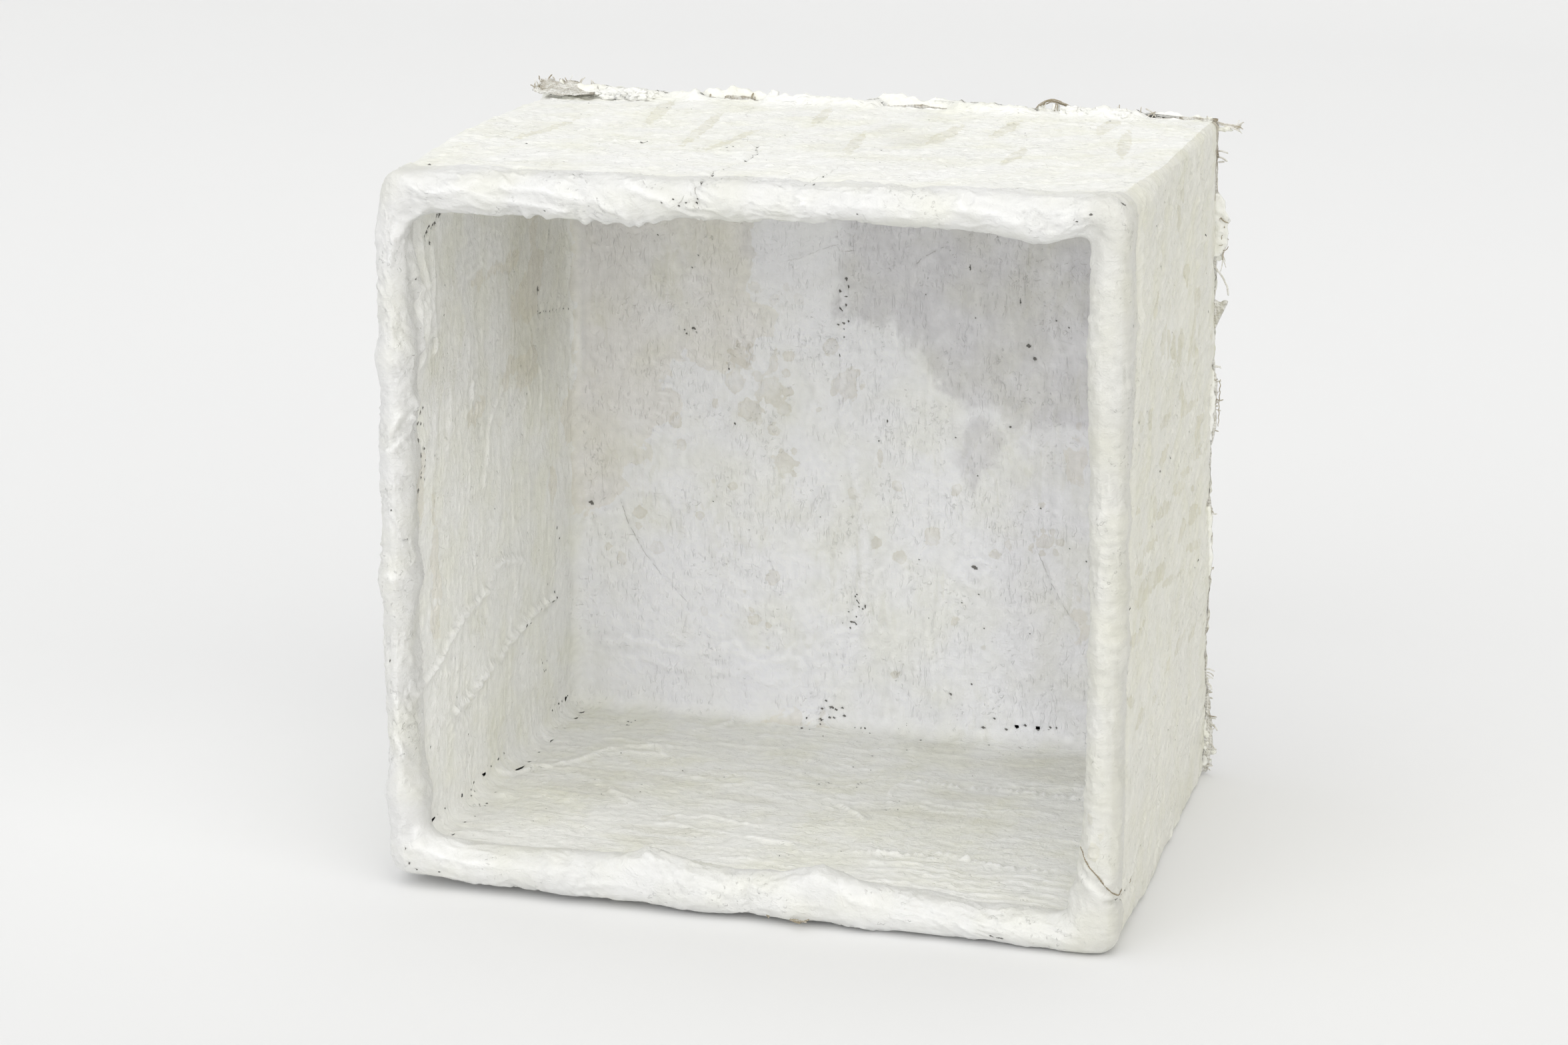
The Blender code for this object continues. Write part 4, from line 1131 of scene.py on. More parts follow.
def scratch_all():
    """Hair-thin scratches and fibres here and there on the walls that the photograph shows."""
    for face, low, high, count in [
            (back_in, (-240, 60), (240, 520), 34), (floor_in, (-240, -150), (240, 190), 40),
            (left_in, (-150, 60), (180, 500), 30), (top_out, (-260, -170), (260, 190), 70),
            (right_out, (-180, 20), (200, 540), 50), (front, (-270, 10), (270, 550), 20)]:
        for _ in range(count):
            spot = rng.uniform(low, high)
            turn = rng.uniform(0, math.pi)
            path = [spot]
            for _ in range(3):
                turn += rng.uniform(-0.6, 0.6)
                path.append(path[-1] + np.array((math.cos(turn), math.sin(turn))) * rng.uniform(3, 9))
            face.line(path, rng.uniform(0.2, 0.45))
    # The long curved hair at the lower left of the back.
    back_in.line([(-222, 212), (-212, 184), (-198, 160), (-180, 139), (-158, 118)], 1.0)
    back_in.line([(140, 190), (150, 165), (160, 146), (178, 118)], 0.8)


def tint_sides():
    """The right side and its bead are greyer and more yellow than the rest: partly the yellower tone of that
    side's plaster, partly painted shade for the weaker, warmer light there. The left bead is a little dimmer.
    """
    outside = ramp(skin.normals[:, 0], 0.3, 0.8) * (skin.points[:, 0] > HALF_X - 20)
    bead = bead_share * ramp(skin.points[:, 0], HALF_X - 45, HALF_X - 25) * 0.55
    slow = 1 + 0.35 * noise(skin.points, 90, 280)
    # Over the right side this is painted shade, on top of that side's own tan.
    tan_and_side_shade = np.clip(np.maximum(outside * 1.1, bead * 1.3) * slow, 0, 1.4)
    skin.marks["tan_and_side_shade"] = np.maximum(skin.marks["tan_and_side_shade"], tan_and_side_shade)
    left_bead = bead_share * ramp(-skin.points[:, 0], HALF_X - 45, HALF_X - 25)
    skin.marks["dim"] = np.maximum(skin.marks["dim"], 0.4 * left_bead)


def mark_rest():
    """Faces that the photograph doesn't show: the left side, the back, the underside, right wall inside."""
    for face, low, high in [(left_out, (-170, 30), (200, 530)), (right_in, (-150, 50), (170, 500)),
                            (back_out, (-250, 30), (250, 520)), (under, (-250, -170), (250, 200)),
                            (roof_in, (-240, -150), (240, 170))]:
        for _ in range(70):
            face.blob(*rng.uniform(low, high), rng.uniform(5, 20), rng.uniform(2, 5), rng.uniform(-0.6, 0.9),
                      rng.uniform(-25, 25))
        for _ in range(14):
            face.spot("drops", *rng.uniform(low, high), rng.uniform(3, 16), rng.uniform(2, 7),
                      rng.uniform(-20, 20))
        for _ in range(5):
            face.patch("weave", *rng.uniform(low, high), rng.uniform(40, 90), rng.uniform(30, 60), 0.6)
            face.patch("dirt", *rng.uniform(low, high), rng.uniform(30, 90), rng.uniform(20, 50), 0.8)
        for _ in range(2):
            start = rng.uniform(low, high)
            path = [start + (40 * step, 12 * math.sin(step + start[0])) for step in range(5)]
            face.bumps(path, 5, 1.8, 4.5, 1.1)
        scatter_pits(face, low, high, 40, 0.8)
    for x in (-150, -40, 90, 190):
        back_out.ridge([(x, 40), (x + 14, 160), (x - 10, 300), (x + 8, 500)], 8, 1.6, 0.4, 8, 120)


mark_front()
mark_left_wall()
mark_back()
mark_floor()
mark_right_outside()
mark_top()
mark_rest()
scratch_all()
tint_sides()


def shifted(values, axis, reach, mode="edge"):
    """A grid moved by each whole number of cells up to a reach, either way along an axis."""
    wide = np.pad(values, [(reach, reach) if way == axis else (0, 0) for way in (0, 1)], mode=mode)
    count = values.shape[axis]
    return [np.take(wide, range(shift, shift + count), axis) for shift in range(2 * reach + 1)]


def averaged(values, wraps):
    """Each cell's mean over the 5 by 5 cells round it."""
    for axis in (0, 1):
        values = sum(shifted(values, axis, 2, "wrap" if wraps and axis == 1 else "edge")) / 5
    return values


def mark_painted_cavity_shade():
    """How far each point stands out from those round it, for the painted cavity shade: hollows painted darker
    and raised plaster painted lighter.
    """
    for number, grid in enumerate(skin.grids):
        heights = skin.height[grid]
        skin.marks["proud"][grid] = heights - averaged(averaged(heights, number == 0), number == 0)


mark_painted_cavity_shade()

final = warped(skin.points + skin.normals * skin.height[:, None] + skin.shift) / MM
final_normals = smooth_normals(final)


# --- Materials ---------------------------------------------------------------------------------------

class Nodes:
    """A short way to write a material's nodes."""

    def __init__(self, name):
        self.material = bpy.data.materials.new(name)
        self.material.use_nodes = True
        self.tree = self.material.node_tree
        self.tree.nodes.clear()
        self.output = self.tree.nodes.new("ShaderNodeOutputMaterial")
        self.shader = self.tree.nodes.new("ShaderNodeBsdfPrincipled")
        self.join(self.shader.outputs["BSDF"], self.output.inputs["Surface"])
        coordinates = self.tree.nodes.new("ShaderNodeTexCoord").outputs["Object"]
        self.place = self.vector("SCALE", coordinates, scale=MM)
        self.xyz = self.split(self.place)

    def join(self, source, target):
        self.tree.links.new(source, target)

    def put(self, value, socket):
        """A link where the value is a node's output, or else a plain value."""
        if isinstance(value, bpy.types.NodeSocket):
            self.join(value, socket)
        elif value is not None:
            socket.default_value = value

    def math(self, how, a, b=None):
        node = self.tree.nodes.new("ShaderNodeMath")
        node.operation = how
        for value, socket in zip((a, b), node.inputs):
            self.put(value, socket)
        return node.outputs[0]

    def add(self, *values):
        total = values[0]
        for value in values[1:]:
            total = self.math("ADD", total, value)
        return total

    def times(self, *values):
        total = values[0]
        for value in values[1:]:
            total = self.math("MULTIPLY", total, value)
        return total

    def rest(self, share):
        return self.math("SUBTRACT", 1.0, share)

    def vector(self, how, a, b=None, scale=None):
        node = self.tree.nodes.new("ShaderNodeVectorMath")
        node.operation = how
        self.put(a, node.inputs[0])
        self.put(b, node.inputs[1])
        self.put(scale, node.inputs[3])
        return node.outputs[0]

    def split(self, vector):
        node = self.tree.nodes.new("ShaderNodeSeparateXYZ")
        self.join(vector, node.inputs[0])
        return tuple(node.outputs)

    def attribute(self, name, vector=False):
        node = self.tree.nodes.new("ShaderNodeAttribute")
        node.attribute_name = name
        return node.outputs["Vector" if vector else "Fac"]

    def noise(self, size, detail=2.0, bend=0.0, place=None):
        """Noise of about 0 to 1, whose size is in millimetres along x, y and z."""
        spot = self.vector("DIVIDE", place or self.place, size if hasattr(size, "__len__") else (size,) * 3)
        node = self.tree.nodes.new("ShaderNodeTexNoise")
        self.join(spot, node.inputs["Vector"])
        node.inputs["Scale"].default_value = 1.0
        node.inputs["Detail"].default_value = detail
        node.inputs["Distortion"].default_value = bend
        return node.outputs["Fac"]

    def swing(self, reach, size, detail=2.0, bend=0.0):
        """Noise about zero, up to half a reach either way."""
        return self.times(self.math("SUBTRACT", self.noise(size, detail, bend), 0.5), reach)

    def ramp(self, value, low, high, from_value=0.0, to_value=1.0):
        node = self.tree.nodes.new("ShaderNodeMapRange")
        node.interpolation_type = "SMOOTHSTEP"
        for key, number in (("Value", value), ("From Min", low), ("From Max", high),
                            ("To Min", from_value), ("To Max", to_value)):
            self.put(number, node.inputs[key])
        return node.outputs[0]

    def mix(self, share, a, b, how="MIX"):
        node = self.tree.nodes.new("ShaderNodeMix")
        node.data_type = "RGBA"
        node.blend_type = how
        self.put(share, node.inputs[0])
        for value, socket in ((a, node.inputs[6]), (b, node.inputs[7])):
            self.put(value if isinstance(value, bpy.types.NodeSocket) else (*value, 1.0), socket)
        return node.outputs[2]

    def tint(self, share, colour, tint):
        """A colour that is multiplied by a tint over a share of it."""
        return self.mix(share, colour, self.mix(1.0, colour, tint, "MULTIPLY"))

    def waves(self, place, wander, pitch):
        """The threads of a weave, from -1 to 1."""
        return self.math("SINE", self.times(self.add(place, wander), 2 * math.pi / pitch))

    def grey(self, value):
        """A number as a colour."""
        node = self.tree.nodes.new("ShaderNodeCombineColor")
        for socket in node.inputs[:3]:
            self.join(value, socket)
        return node.outputs[0]

    def bump(self, height):
        """Height is in millimetres."""
        node = self.tree.nodes.new("ShaderNodeBump")
        node.inputs["Strength"].default_value = 1.0
        node.inputs["Distance"].default_value = 1 / MM
        self.join(height, node.inputs["Height"])
        self.join(node.outputs[0], self.shader.inputs["Normal"])

    def finish(self, colour, roughness, specular=0.4):
        self.put(colour, self.shader.inputs["Base Color"])
        self.put(roughness, self.shader.inputs["Roughness"])
        self.shader.inputs["Specular IOR Level"].default_value = specular
        return self.material


# What each mark leaves of the colour under it.
BEIGE = (0.945, 0.925, 0.885)
GREY = (0.80, 0.79, 0.80)
THIN = (0.925, 0.922, 0.885)
DROP_EDGE = (0.95, 0.94, 0.90)
SCRATCH = (0.42, 0.40, 0.36)
DIM = (0.90, 0.895, 0.90)
# Tan stains, and the painted shade of the right side.
TAN_AND_SIDE_SHADE = (0.862, 0.855, 0.81)
# Painted cool light: faces along y, mostly the back panel, are tinted bluer and a little lighter.
COOL_LIGHT_TINT = (1.015, 1.018, 1.075)                   # the back panel, bluer than the walls
# Colours of their own.
FRESH = (0.97, 0.97, 0.965)
SPECK = (0.16, 0.15, 0.13)
# Painted shade inside holes.
PIT_SHADE = (0.10, 0.092, 0.08)
# Painted shade seen through the gaps of bare jute.
JUTE_GAP_SHADE = (0.10, 0.085, 0.065)


def plaster(name, white, splash, rough, rising, hollow):
    """Plaster with stains, splashes, pinholes, the print of scrim and the strokes of the brush.

    Rising turns the strokes for the outside. Hollow is how strongly the painted cavity shade darkens the
    hollows and the painted highlight lightens the raised plaster."""
    n = Nodes(name)
    facing_x, facing_y, facing_z = (n.times(f, f) for f in n.split(n.attribute("facing", True)))
    rim = n.attribute("rim")
    dirt = n.attribute("dirt")
    fresh = n.attribute("fresh")
    not_rim = n.rest(rim)
    ragged = n.add(n.swing(46, 26, 6, 0.8), n.swing(9, 6, 3))
    splashed = n.add(n.attribute("drops"), n.swing(8.0, 6, 4, 0.5))
    stain = n.ramp(n.add(n.attribute("stain"), ragged), -1.2, 1.2)
    cloud = n.ramp(n.add(n.attribute("cloud"), ragged), -9, 7)
    drops = n.ramp(splashed, -0.7, 0.5)
    drop_edge = n.times(n.ramp(splashed, -0.2, 0.5), n.ramp(splashed, 0.5, 2.2, 1.0, 0.0))
    pits = n.ramp(n.add(n.attribute("pits"), n.swing(2.2, 1.6)), -0.25, 0.3)
    broad = n.noise(85, 3, 0.6)
    laid = n.place
    if rising:
        # Outside, the strokes run towards the back and up.
        combine = n.tree.nodes.new("ShaderNodeCombineXYZ")
        n.join(n.xyz[0], combine.inputs[0])
        n.join(n.times(n.xyz[1], 0.2), combine.inputs[1])
        n.join(n.math("SUBTRACT", n.xyz[2], n.times(n.xyz[1], 0.5)), combine.inputs[2])
        laid = combine.outputs[0]
    cloudy = n.noise((24, 4, 9) if rising else (24, 24, 30), 4 if rising else 3, 1.0, laid)
    offset = n.add(n.attribute("line"), n.swing(3.5, 7))
    line = n.times(n.ramp(n.math("ABSOLUTE", offset), 0.12, 0.5, 1.0, 0.0), n.attribute("lined"),
                   n.ramp(n.noise(6), 0.40, 0.55))
    speck = n.times(n.ramp(n.noise(1.5, 1), 0.70, 0.76), n.ramp(n.noise(19), 0.56, 0.70), dirt)
    warm = tuple(value * share for value, share in zip(white, (0.97, 0.968, 0.91)))
    colour = n.mix(n.ramp(n.noise(46), 0.35, 0.75), white, warm)
    shade = n.add(0.885, n.times(broad, 0.12), n.times(cloudy, 0.11))
    # Painted cavity shade and highlight: hollows darkened and raised plaster lightened by how far each point
    # stands out.
    shade = n.times(shade, n.ramp(n.attribute("proud"), -1.1, 1.1, 1 - hollow, 1 + hollow))
    colour = n.mix(1.0, colour, n.grey(shade), "MULTIPLY")
    streaks = n.noise((16, 6, 8) if rising else (16, 16, 40), 3, 1.4, laid)
    thin = n.times(n.ramp(streaks, 0.54, 0.64), n.ramp(n.noise(90), 0.45, 0.6), not_rim)
    uncovered = n.rest(n.times(fresh, 0.6))
    colour = n.tint(n.times(thin, 0.55), colour, THIN)
    colour = n.tint(n.times(stain, uncovered), colour, BEIGE)
    colour = n.tint(n.times(cloud, uncovered, n.ramp(cloudy, 0.2, 0.7, 1.0, 0.72)), colour, GREY)
    colour = n.tint(n.times(drops, n.ramp(n.noise(17, 3), 0.3, 0.65, 0.35, 1.0)), colour, splash)
    colour = n.tint(n.times(drop_edge, 0.4), colour, DROP_EDGE)
    colour = n.tint(n.times(line, 0.6), colour, SCRATCH)
    colour = n.tint(n.attribute("dim"), colour, DIM)
    colour = n.mix(n.times(fresh, 0.6, n.rest(stain)), colour, FRESH)
    # Real tan stains, and painted shade over the right side.
    colour = n.tint(n.attribute("tan_and_side_shade"), colour, TAN_AND_SIDE_SHADE)
    # Painted cool light on the faces that look along y.
    colour = n.tint(n.times(facing_y, not_rim), colour, COOL_LIGHT_TINT)
    bare = n.ramp(n.add(n.attribute("bare"), n.swing(12, 5, 4)), -0.8, 0.8)
    cloth = n.mix(n.noise((1.6, 1.6, 3.0), 3), (0.36, 0.33, 0.26), (0.66, 0.62, 0.53))
    colour = n.mix(n.times(bare, 0.95), colour, cloth)
    colour = n.mix(n.times(speck, 0.8), colour, SPECK)
    # Painted shade: each pit's hole is painted near black.
    colour = n.mix(n.times(pits, 0.9), colour, PIT_SHADE)
    across_u = n.add(n.times(facing_x, n.xyz[1]), n.times(n.rest(facing_x), n.xyz[0]))
    across_v = n.add(n.times(facing_z, n.xyz[1]), n.times(n.rest(facing_z), n.xyz[2]))
    wander = n.times(n.noise(30, 1), 7)
    threads = n.add(n.waves(across_u, wander, WEAVE), n.waves(across_v, wander, WEAVE))
    weave = n.times(n.attribute("weave"), n.ramp(n.noise(13), 0.38, 0.62), threads)
    # Strokes only show where a surface faces squarely along an axis.
    squares = [n.times(facing, facing) for facing in (facing_x, facing_y, facing_z)]
    square = n.ramp(n.add(*squares), 0.55, 0.95)
    upright = n.times(n.noise((30, 5, 3.4), 3, 0.5, laid), 1.8) if rising else n.noise((30, 2.4, 46), 2, 0.4)
    level = n.times(n.noise((46, 2.8, 30), 2, 0.5), 1.0 if rising else 0.6)
    strokes = n.add(n.times(facing_x, upright), n.times(facing_y, n.noise((3.4, 30, 40), 2, 0.8)),
                    n.times(facing_z, level))
    strokes = n.times(square, strokes)
    short = n.add(n.times(facing_x, n.noise((9, 3.2, 8))), n.times(facing_y, n.noise((2.6, 9, 9), 1)),
                  n.times(facing_z, n.noise((9, 2.6, 9), 1)))
    dash = n.times(square, n.ramp(short, 0.56, 0.68), n.ramp(n.noise(26), 0.40, 0.60), not_rim)
    crease = n.times(n.math("ABSOLUTE", n.math("SUBTRACT", n.noise((9, 12, 6), 3, 1.6), 0.5)), rim)
    knob = n.times(n.ramp(n.noise(3.6, 1, 0.5), 0.62, 0.74), n.ramp(n.noise(33), 0.48, 0.62))
    smooth = n.add(1.0, n.times(rim, -0.5))
    n.bump(n.add(n.times(n.noise(0.9), 0.12), n.times(strokes, smooth, 0.6),
                 n.times(n.noise(5.5, 4, 0.6), smooth, 1.5), n.times(dash, 0.5), n.times(crease, 1.1),
                 n.times(n.noise(3.0, 3, 0.8), rim, 0.35), n.times(knob, 0.6), n.times(weave, 0.10),
                 n.times(pits, -0.9), n.times(drops, 0.12), n.times(speck, -0.3), n.times(line, -0.2)))
    return n.finish(colour, n.add(rough, n.swing(0.25, 7, 3)))


def jute(name, woven):
    """Jute, brown where it is bare and grey-white where plaster has soaked in. Woven adds the mesh."""
    n = Nodes(name)
    x, y, z = n.xyz
    bare = n.attribute("bare")
    soaked = n.ramp(n.add(n.times(bare, 1.2), n.times(n.noise(5, 3), 0.8)), 0.55, 1.25)
    brown = n.mix(n.noise(1.2), (0.24, 0.20, 0.14), (0.46, 0.40, 0.29))
    white = n.mix(n.ramp(n.noise(3.0, 3), 0.35, 0.6), (0.70, 0.68, 0.61), (0.88, 0.872, 0.83))
    colour = n.mix(soaked, white, brown)
    height = n.times(n.noise(0.8), 0.35)
    if woven:
        wander = n.times(n.noise(20, 1), 5)
        across = n.waves(n.add(x, y), wander, JUTE_WEAVE)
        up = n.waves(n.add(z, n.times(y, 0.5)), wander, JUTE_WEAVE)
        mesh = n.math("MAXIMUM", across, up)
        gap = n.ramp(mesh, -0.55, -0.15, 1.0, 0.0)
        gap = n.times(gap, 0.8, n.ramp(bare, 0.1, 0.5), n.ramp(n.noise(8), 0.46, 0.64))
        # Painted shade in the gaps of the bare weave.
        colour = n.mix(gap, colour, JUTE_GAP_SHADE)
        height = n.add(height, n.times(mesh, 0.35))
    n.bump(height)
    return n.finish(colour, n.add(0.8, n.times(n.noise(2, 1), 0.15)), 0.2)


# The whites are set against how the light falls: the rim's is lower, painted shade to offset the strong front
# light on the bead, and the inner one higher, painted light in the shaded inside of the box.
PLASTER_RIM = plaster("rim_plaster", (0.805, 0.805, 0.79), (0.95, 0.94, 0.90), 0.40, False, 0.035)
PLASTER_OUT = plaster("outer_plaster", (0.935, 0.935, 0.90), (0.885, 0.873, 0.815), 0.5, True, 0.045)
PLASTER_IN = plaster("inner_plaster", (0.96, 0.96, 0.935), (0.88, 0.862, 0.82), 0.44, False, 0.085)
LOOKS = {"rim": (PLASTER_RIM, "plaster_rim"), "outer": (PLASTER_OUT, "plaster_outer"),
         "inner": (PLASTER_IN, "plaster_inner"), "scrim": (jute("scrim_jute", True), "scrim_jute"),
         "yarn": (jute("yarn_jute", False), "yarn_jute")}


# --- Making the pieces -------------------------------------------------------------------------------

def signed_volume(points, quads, others):
    a, b, c, d = (points[quads[:, i]] for i in range(4))
    total = np.einsum("ij,ij->", a, np.cross(b, c)) + np.einsum("ij,ij->", a, np.cross(c, d))
    for face in others:
        for i in range(1, len(face) - 1):
            total += points[face[0]] @ np.cross(points[face[i]], points[face[i + 1]])
    return total


def new_piece(name, points, quads, others, look, nodes, normals=None, fields=None):
    """A mesh object from arrays, riding on the frame, with its material from LOOKS."""
    points = np.asarray(points, float)
    others = [list(face) for face in others]
    if signed_volume(points, quads, others) < 0:
        quads = quads[:, ::-1]
        others = [face[::-1] for face in others]
    corners = [quads.ravel()] + [np.array(face) for face in others]
    sizes = np.concatenate([np.full(len(quads), 4), [len(face) for face in others]]).astype(np.int64)
    corners = np.concatenate(corners).astype(np.int32)
    mesh = bpy.data.meshes.new(name)
    mesh.vertices.add(len(points))
    mesh.vertices.foreach_set("co", points.astype(np.float32).ravel())
    mesh.loops.add(len(corners))
    mesh.loops.foreach_set("vertex_index", corners)
    mesh.polygons.add(len(sizes))
    mesh.polygons.foreach_set("loop_start", (np.cumsum(sizes) - sizes).astype(np.int32))
    mesh.update(calc_edges=True)
    mesh.polygons.foreach_set("use_smooth", np.ones(len(sizes), bool))
    fields = dict(fields or {})
    if look in ("rim", "outer", "inner") and "stain" not in fields:
        fields.update({key: np.full(len(points), start) for key, start in MARKS.items()})
    for key, values in fields.items():
        flat = values.ndim == 1
        field = mesh.attributes.new(key, "FLOAT" if flat else "FLOAT_VECTOR", "POINT")
        field.data.foreach_set("value" if flat else "vector", values.astype(np.float32).ravel())
    if normals is not None:
        field = mesh.attributes.new("custom_normal", "FLOAT_VECTOR", "POINT")
        field.data.foreach_set("vector", np.asarray(normals, np.float32).ravel())
    material, slot = LOOKS[look]
    mesh.materials.append(material)
    piece = bpy.data.objects.new(name, mesh)
    bpy.context.scene.collection.objects.link(piece)
    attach(piece, "root")
    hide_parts(*nodes)
    return piece


def grid_faces(numbers, closed=False):
    """Quads of a grid of point numbers. Where points run together they become triangles."""
    if closed:
        numbers = np.concatenate([numbers, numbers[:1]])
    quads = np.stack([numbers[:-1, :-1], numbers[1:, :-1], numbers[1:, 1:], numbers[:-1, 1:]], -1)
    quads = quads.reshape(-1, 4)
    pinched = (quads == np.roll(quads, 1, axis=1)).any(1)
    others = [list(dict.fromkeys(quad)) for quad in quads[pinched].tolist()]
    return quads[~pinched], [face for face in others if len(face) > 2]


def skin_piece(name, quads, others, hidden, look, nodes):
    """A closed piece from the skin's points and, numbered after them, hidden points of its own."""
    count = len(final)
    corners = np.concatenate([quads.ravel()] + [np.array(face) for face in others])
    used, local = np.unique(corners, return_inverse=True)
    quads = local[:quads.size].reshape(-1, 4)
    start = quads.size
    faces = []
    for face in others:
        faces.append(local[start:start + len(face)])
        start += len(face)
    shown = used[used < count]
    inside = used[used >= count] - count
    blank = np.zeros(len(inside))
    hidden = np.asarray(hidden, float).reshape(-1, 3)[inside]
    fields = {key: np.concatenate([values[shown], blank]) for key, values in skin.marks.items()}
    fields["rim"] = np.concatenate([bead_share[shown], blank])
    fields["facing"] = np.concatenate([skin.normals[shown], np.zeros((len(inside), 3))])
    away = np.tile((0.0, 0.0, 1.0), (len(inside), 1))
    return new_piece(name, np.concatenate([final[shown], hidden]), quads, faces, look, nodes,
                     np.concatenate([final_normals[shown], away]), fields)


def loop_piece(name, numbers, hidden, look, nodes):
    """Grid rows, then hidden rows, joined back to the first row, with a face over each end."""
    rows = [numbers]
    for index in range(len(hidden)):
        start = len(final) + index * numbers.shape[1]
        rows.append(np.arange(start, start + numbers.shape[1])[None])
    numbers = np.concatenate(rows)
    quads, others = grid_faces(numbers, closed=True)
    for cap in (numbers[::-1, 0], numbers[:, -1]):
        cap = list(dict.fromkeys(cap.tolist()))
        if len(cap) > 2:
            others.append(cap)
    return skin_piece(name, quads, others, np.concatenate(hidden) if hidden else [], look, nodes)


def sunk(numbers, middle, depth, deeper=0.0):
    """A row of places under the skin before its relief, straight in from the middle row's face."""
    lower = skin.points[numbers] - skin.normals[middle] * np.reshape(depth, (-1, 1))
    return warped(lower + np.array((0.0, deeper, 0.0))) / MM


def side_columns(side, first, last):
    """Column numbers of a side of the ring, counted from its own start."""
    start = SIDES.index(side) * SIDE_COLUMNS
    return np.arange(start + first, start + last + 1) % (4 * SIDE_COLUMNS)


def column_at(side, axis, value, row):
    """The column of a side that is nearest to a place, in a row."""
    columns = side_columns(side, 0, SIDE_COLUMNS)
    places = skin.points[RING[row, columns], axis]
    return int(np.argmin(np.abs(places - value)))


# --- The plaster pieces ------------------------------------------------------------------------------

def lowest_near(values, reach):
    """For each place of a grid, the lowest value within a few places of it."""
    for axis in (0, 1):
        values = np.min(shifted(values, axis, reach), axis=0)
    return values


def coat_piece(name, numbers, middle, depth, look, nodes):
    """A closed coat: a grid of the skin, and behind it a coarse grid that follows it at a depth."""
    step = 6
    picks = [np.unique(np.linspace(0, count - 1, count // step + 1).astype(int)) for count in numbers.shape]
    sunken = lowest_near(skin.height[numbers], step + 1) - np.reshape(depth, (-1, 1))
    coarse = np.ix_(*picks)
    chosen = numbers[coarse]
    facing = np.broadcast_to(skin.normals[middle], numbers.shape + (3,))[coarse]
    places = skin.points[chosen] + skin.shift[chosen] + facing * sunken[coarse][..., None]
    own = np.arange(chosen.size).reshape(chosen.shape) + len(final)
    quads, others = grid_faces(numbers)
    hidden_quads, _ = grid_faces(own)
    rows, columns = picks
    last_row, last_column = rows[-1], columns[-1]
    edges = [(numbers[0, ::-1], own[0, ::-1], last_column - columns[::-1]),
             (numbers[:, 0], own[:, 0], rows),
             (numbers[-1], own[-1], columns),
             (numbers[::-1, -1], own[::-1, -1], last_row - rows[::-1])]
    for shown, behind, spots in edges:
        for index in range(len(spots) - 1):
            run = shown[spots[index]:spots[index + 1] + 1]
            others.append([*run[::-1].tolist(), int(behind[index]), int(behind[index + 1])])
    skin_piece(name, np.concatenate([quads, hidden_quads[:, ::-1]]), others, warped(places) / MM, look, nodes)


def make_walls():
    coat = np.arange(SLAB_END + 1, BEAD_START + 1)
    middle = (SLAB_END + BEAD_START) // 2
    inner = np.arange(BEAD_END, COVE_START + 1)
    inner_middle = (BEAD_END + COVE_START) // 2
    for side in SIDES:
        columns = side_columns(side, 0, SIDE_COLUMNS)
        coat_piece(f"{side}_outer_plaster", RING[np.ix_(coat, columns)], RING[middle, columns],
                   COAT_OUT - 1, "outer", [f"{side}_outer_coat"])
        columns = side_columns(side, CORNER_COLUMNS, CORNER_COLUMNS + STRAIGHT_COLUMNS)
        coat_piece(f"{side}_inner_plaster", RING[np.ix_(inner, columns)], RING[inner_middle, columns],
                   INSET[inner] - WALL + COAT_IN - 1, "inner", [f"{side}_inner_coat"])


def make_fillets():
    """The plaster that rounds the inner corners: four along the depth and four round the back."""
    corners = {"bottom_right": "bottom", "top_right": "right", "top_left": "top", "bottom_left": "left"}
    rows = np.arange(BEAD_END, len(ROWS))
    half = len(rows) // 2
    for name, side in corners.items():
        columns = side_columns(side, CORNER_COLUMNS + STRAIGHT_COLUMNS, SIDE_COLUMNS + CORNER_COLUMNS)
        numbers = RING[np.ix_(rows, columns)].T
        middle = numbers[CORNER_COLUMNS]
        apex = sunk(middle, np.full(len(rows), middle[half]), 1.2 * (INSET[rows] - WALL) + COVE / 2)
        loop_piece(f"corner_fillet_{name}", numbers, [apex], "inner", [f"cove_{name}"])
    rows = np.arange(COVE_START, len(ROWS))
    inner_middle = (BEAD_END + COVE_START) // 2
    for side in SIDES:
        columns = side_columns(side, CORNER_COLUMNS, CORNER_COLUMNS + STRAIGHT_COLUMNS)
        numbers = RING[np.ix_(rows, columns)]
        apex = sunk(numbers[-1], RING[inner_middle, columns], COVE + 3, 5.0)
        loop_piece(f"back_fillet_{side}", numbers, [apex], "inner", [f"cove_back_{side}"])


def make_back():
    coat_piece("back_inner_plaster", BACK_IN, BACK_IN, COAT_IN - 1, "inner", ["back_inner_coat"])
    rows = RING[:SLAB_END + 1]
    edge, pinched = grid_faces(np.concatenate([rows, rows[:, :1]], axis=1))
    panel, _ = grid_faces(BACK_OUT)
    turned = []
    for quads in (edge, panel):
        a, b, c = (final[quads[:, i]] for i in range(3))
        turned.append(np.einsum("ij,ij->", np.cross(b - a, c - a), skin.normals[quads[:, 0]]) < 0)
    edge = edge[:, ::-1] if turned[0] else edge
    panel = panel[:, ::-1] if turned[1] else panel
    pinched = [face[::-1] for face in pinched] if turned[0] else pinched
    lid = rows[-1] if turned[0] else rows[-1, ::-1]
    skin_piece("back_outer_plaster", np.concatenate([edge, panel]), [*pinched, list(lid)], [], "outer",
               ["back_outer_coat"])


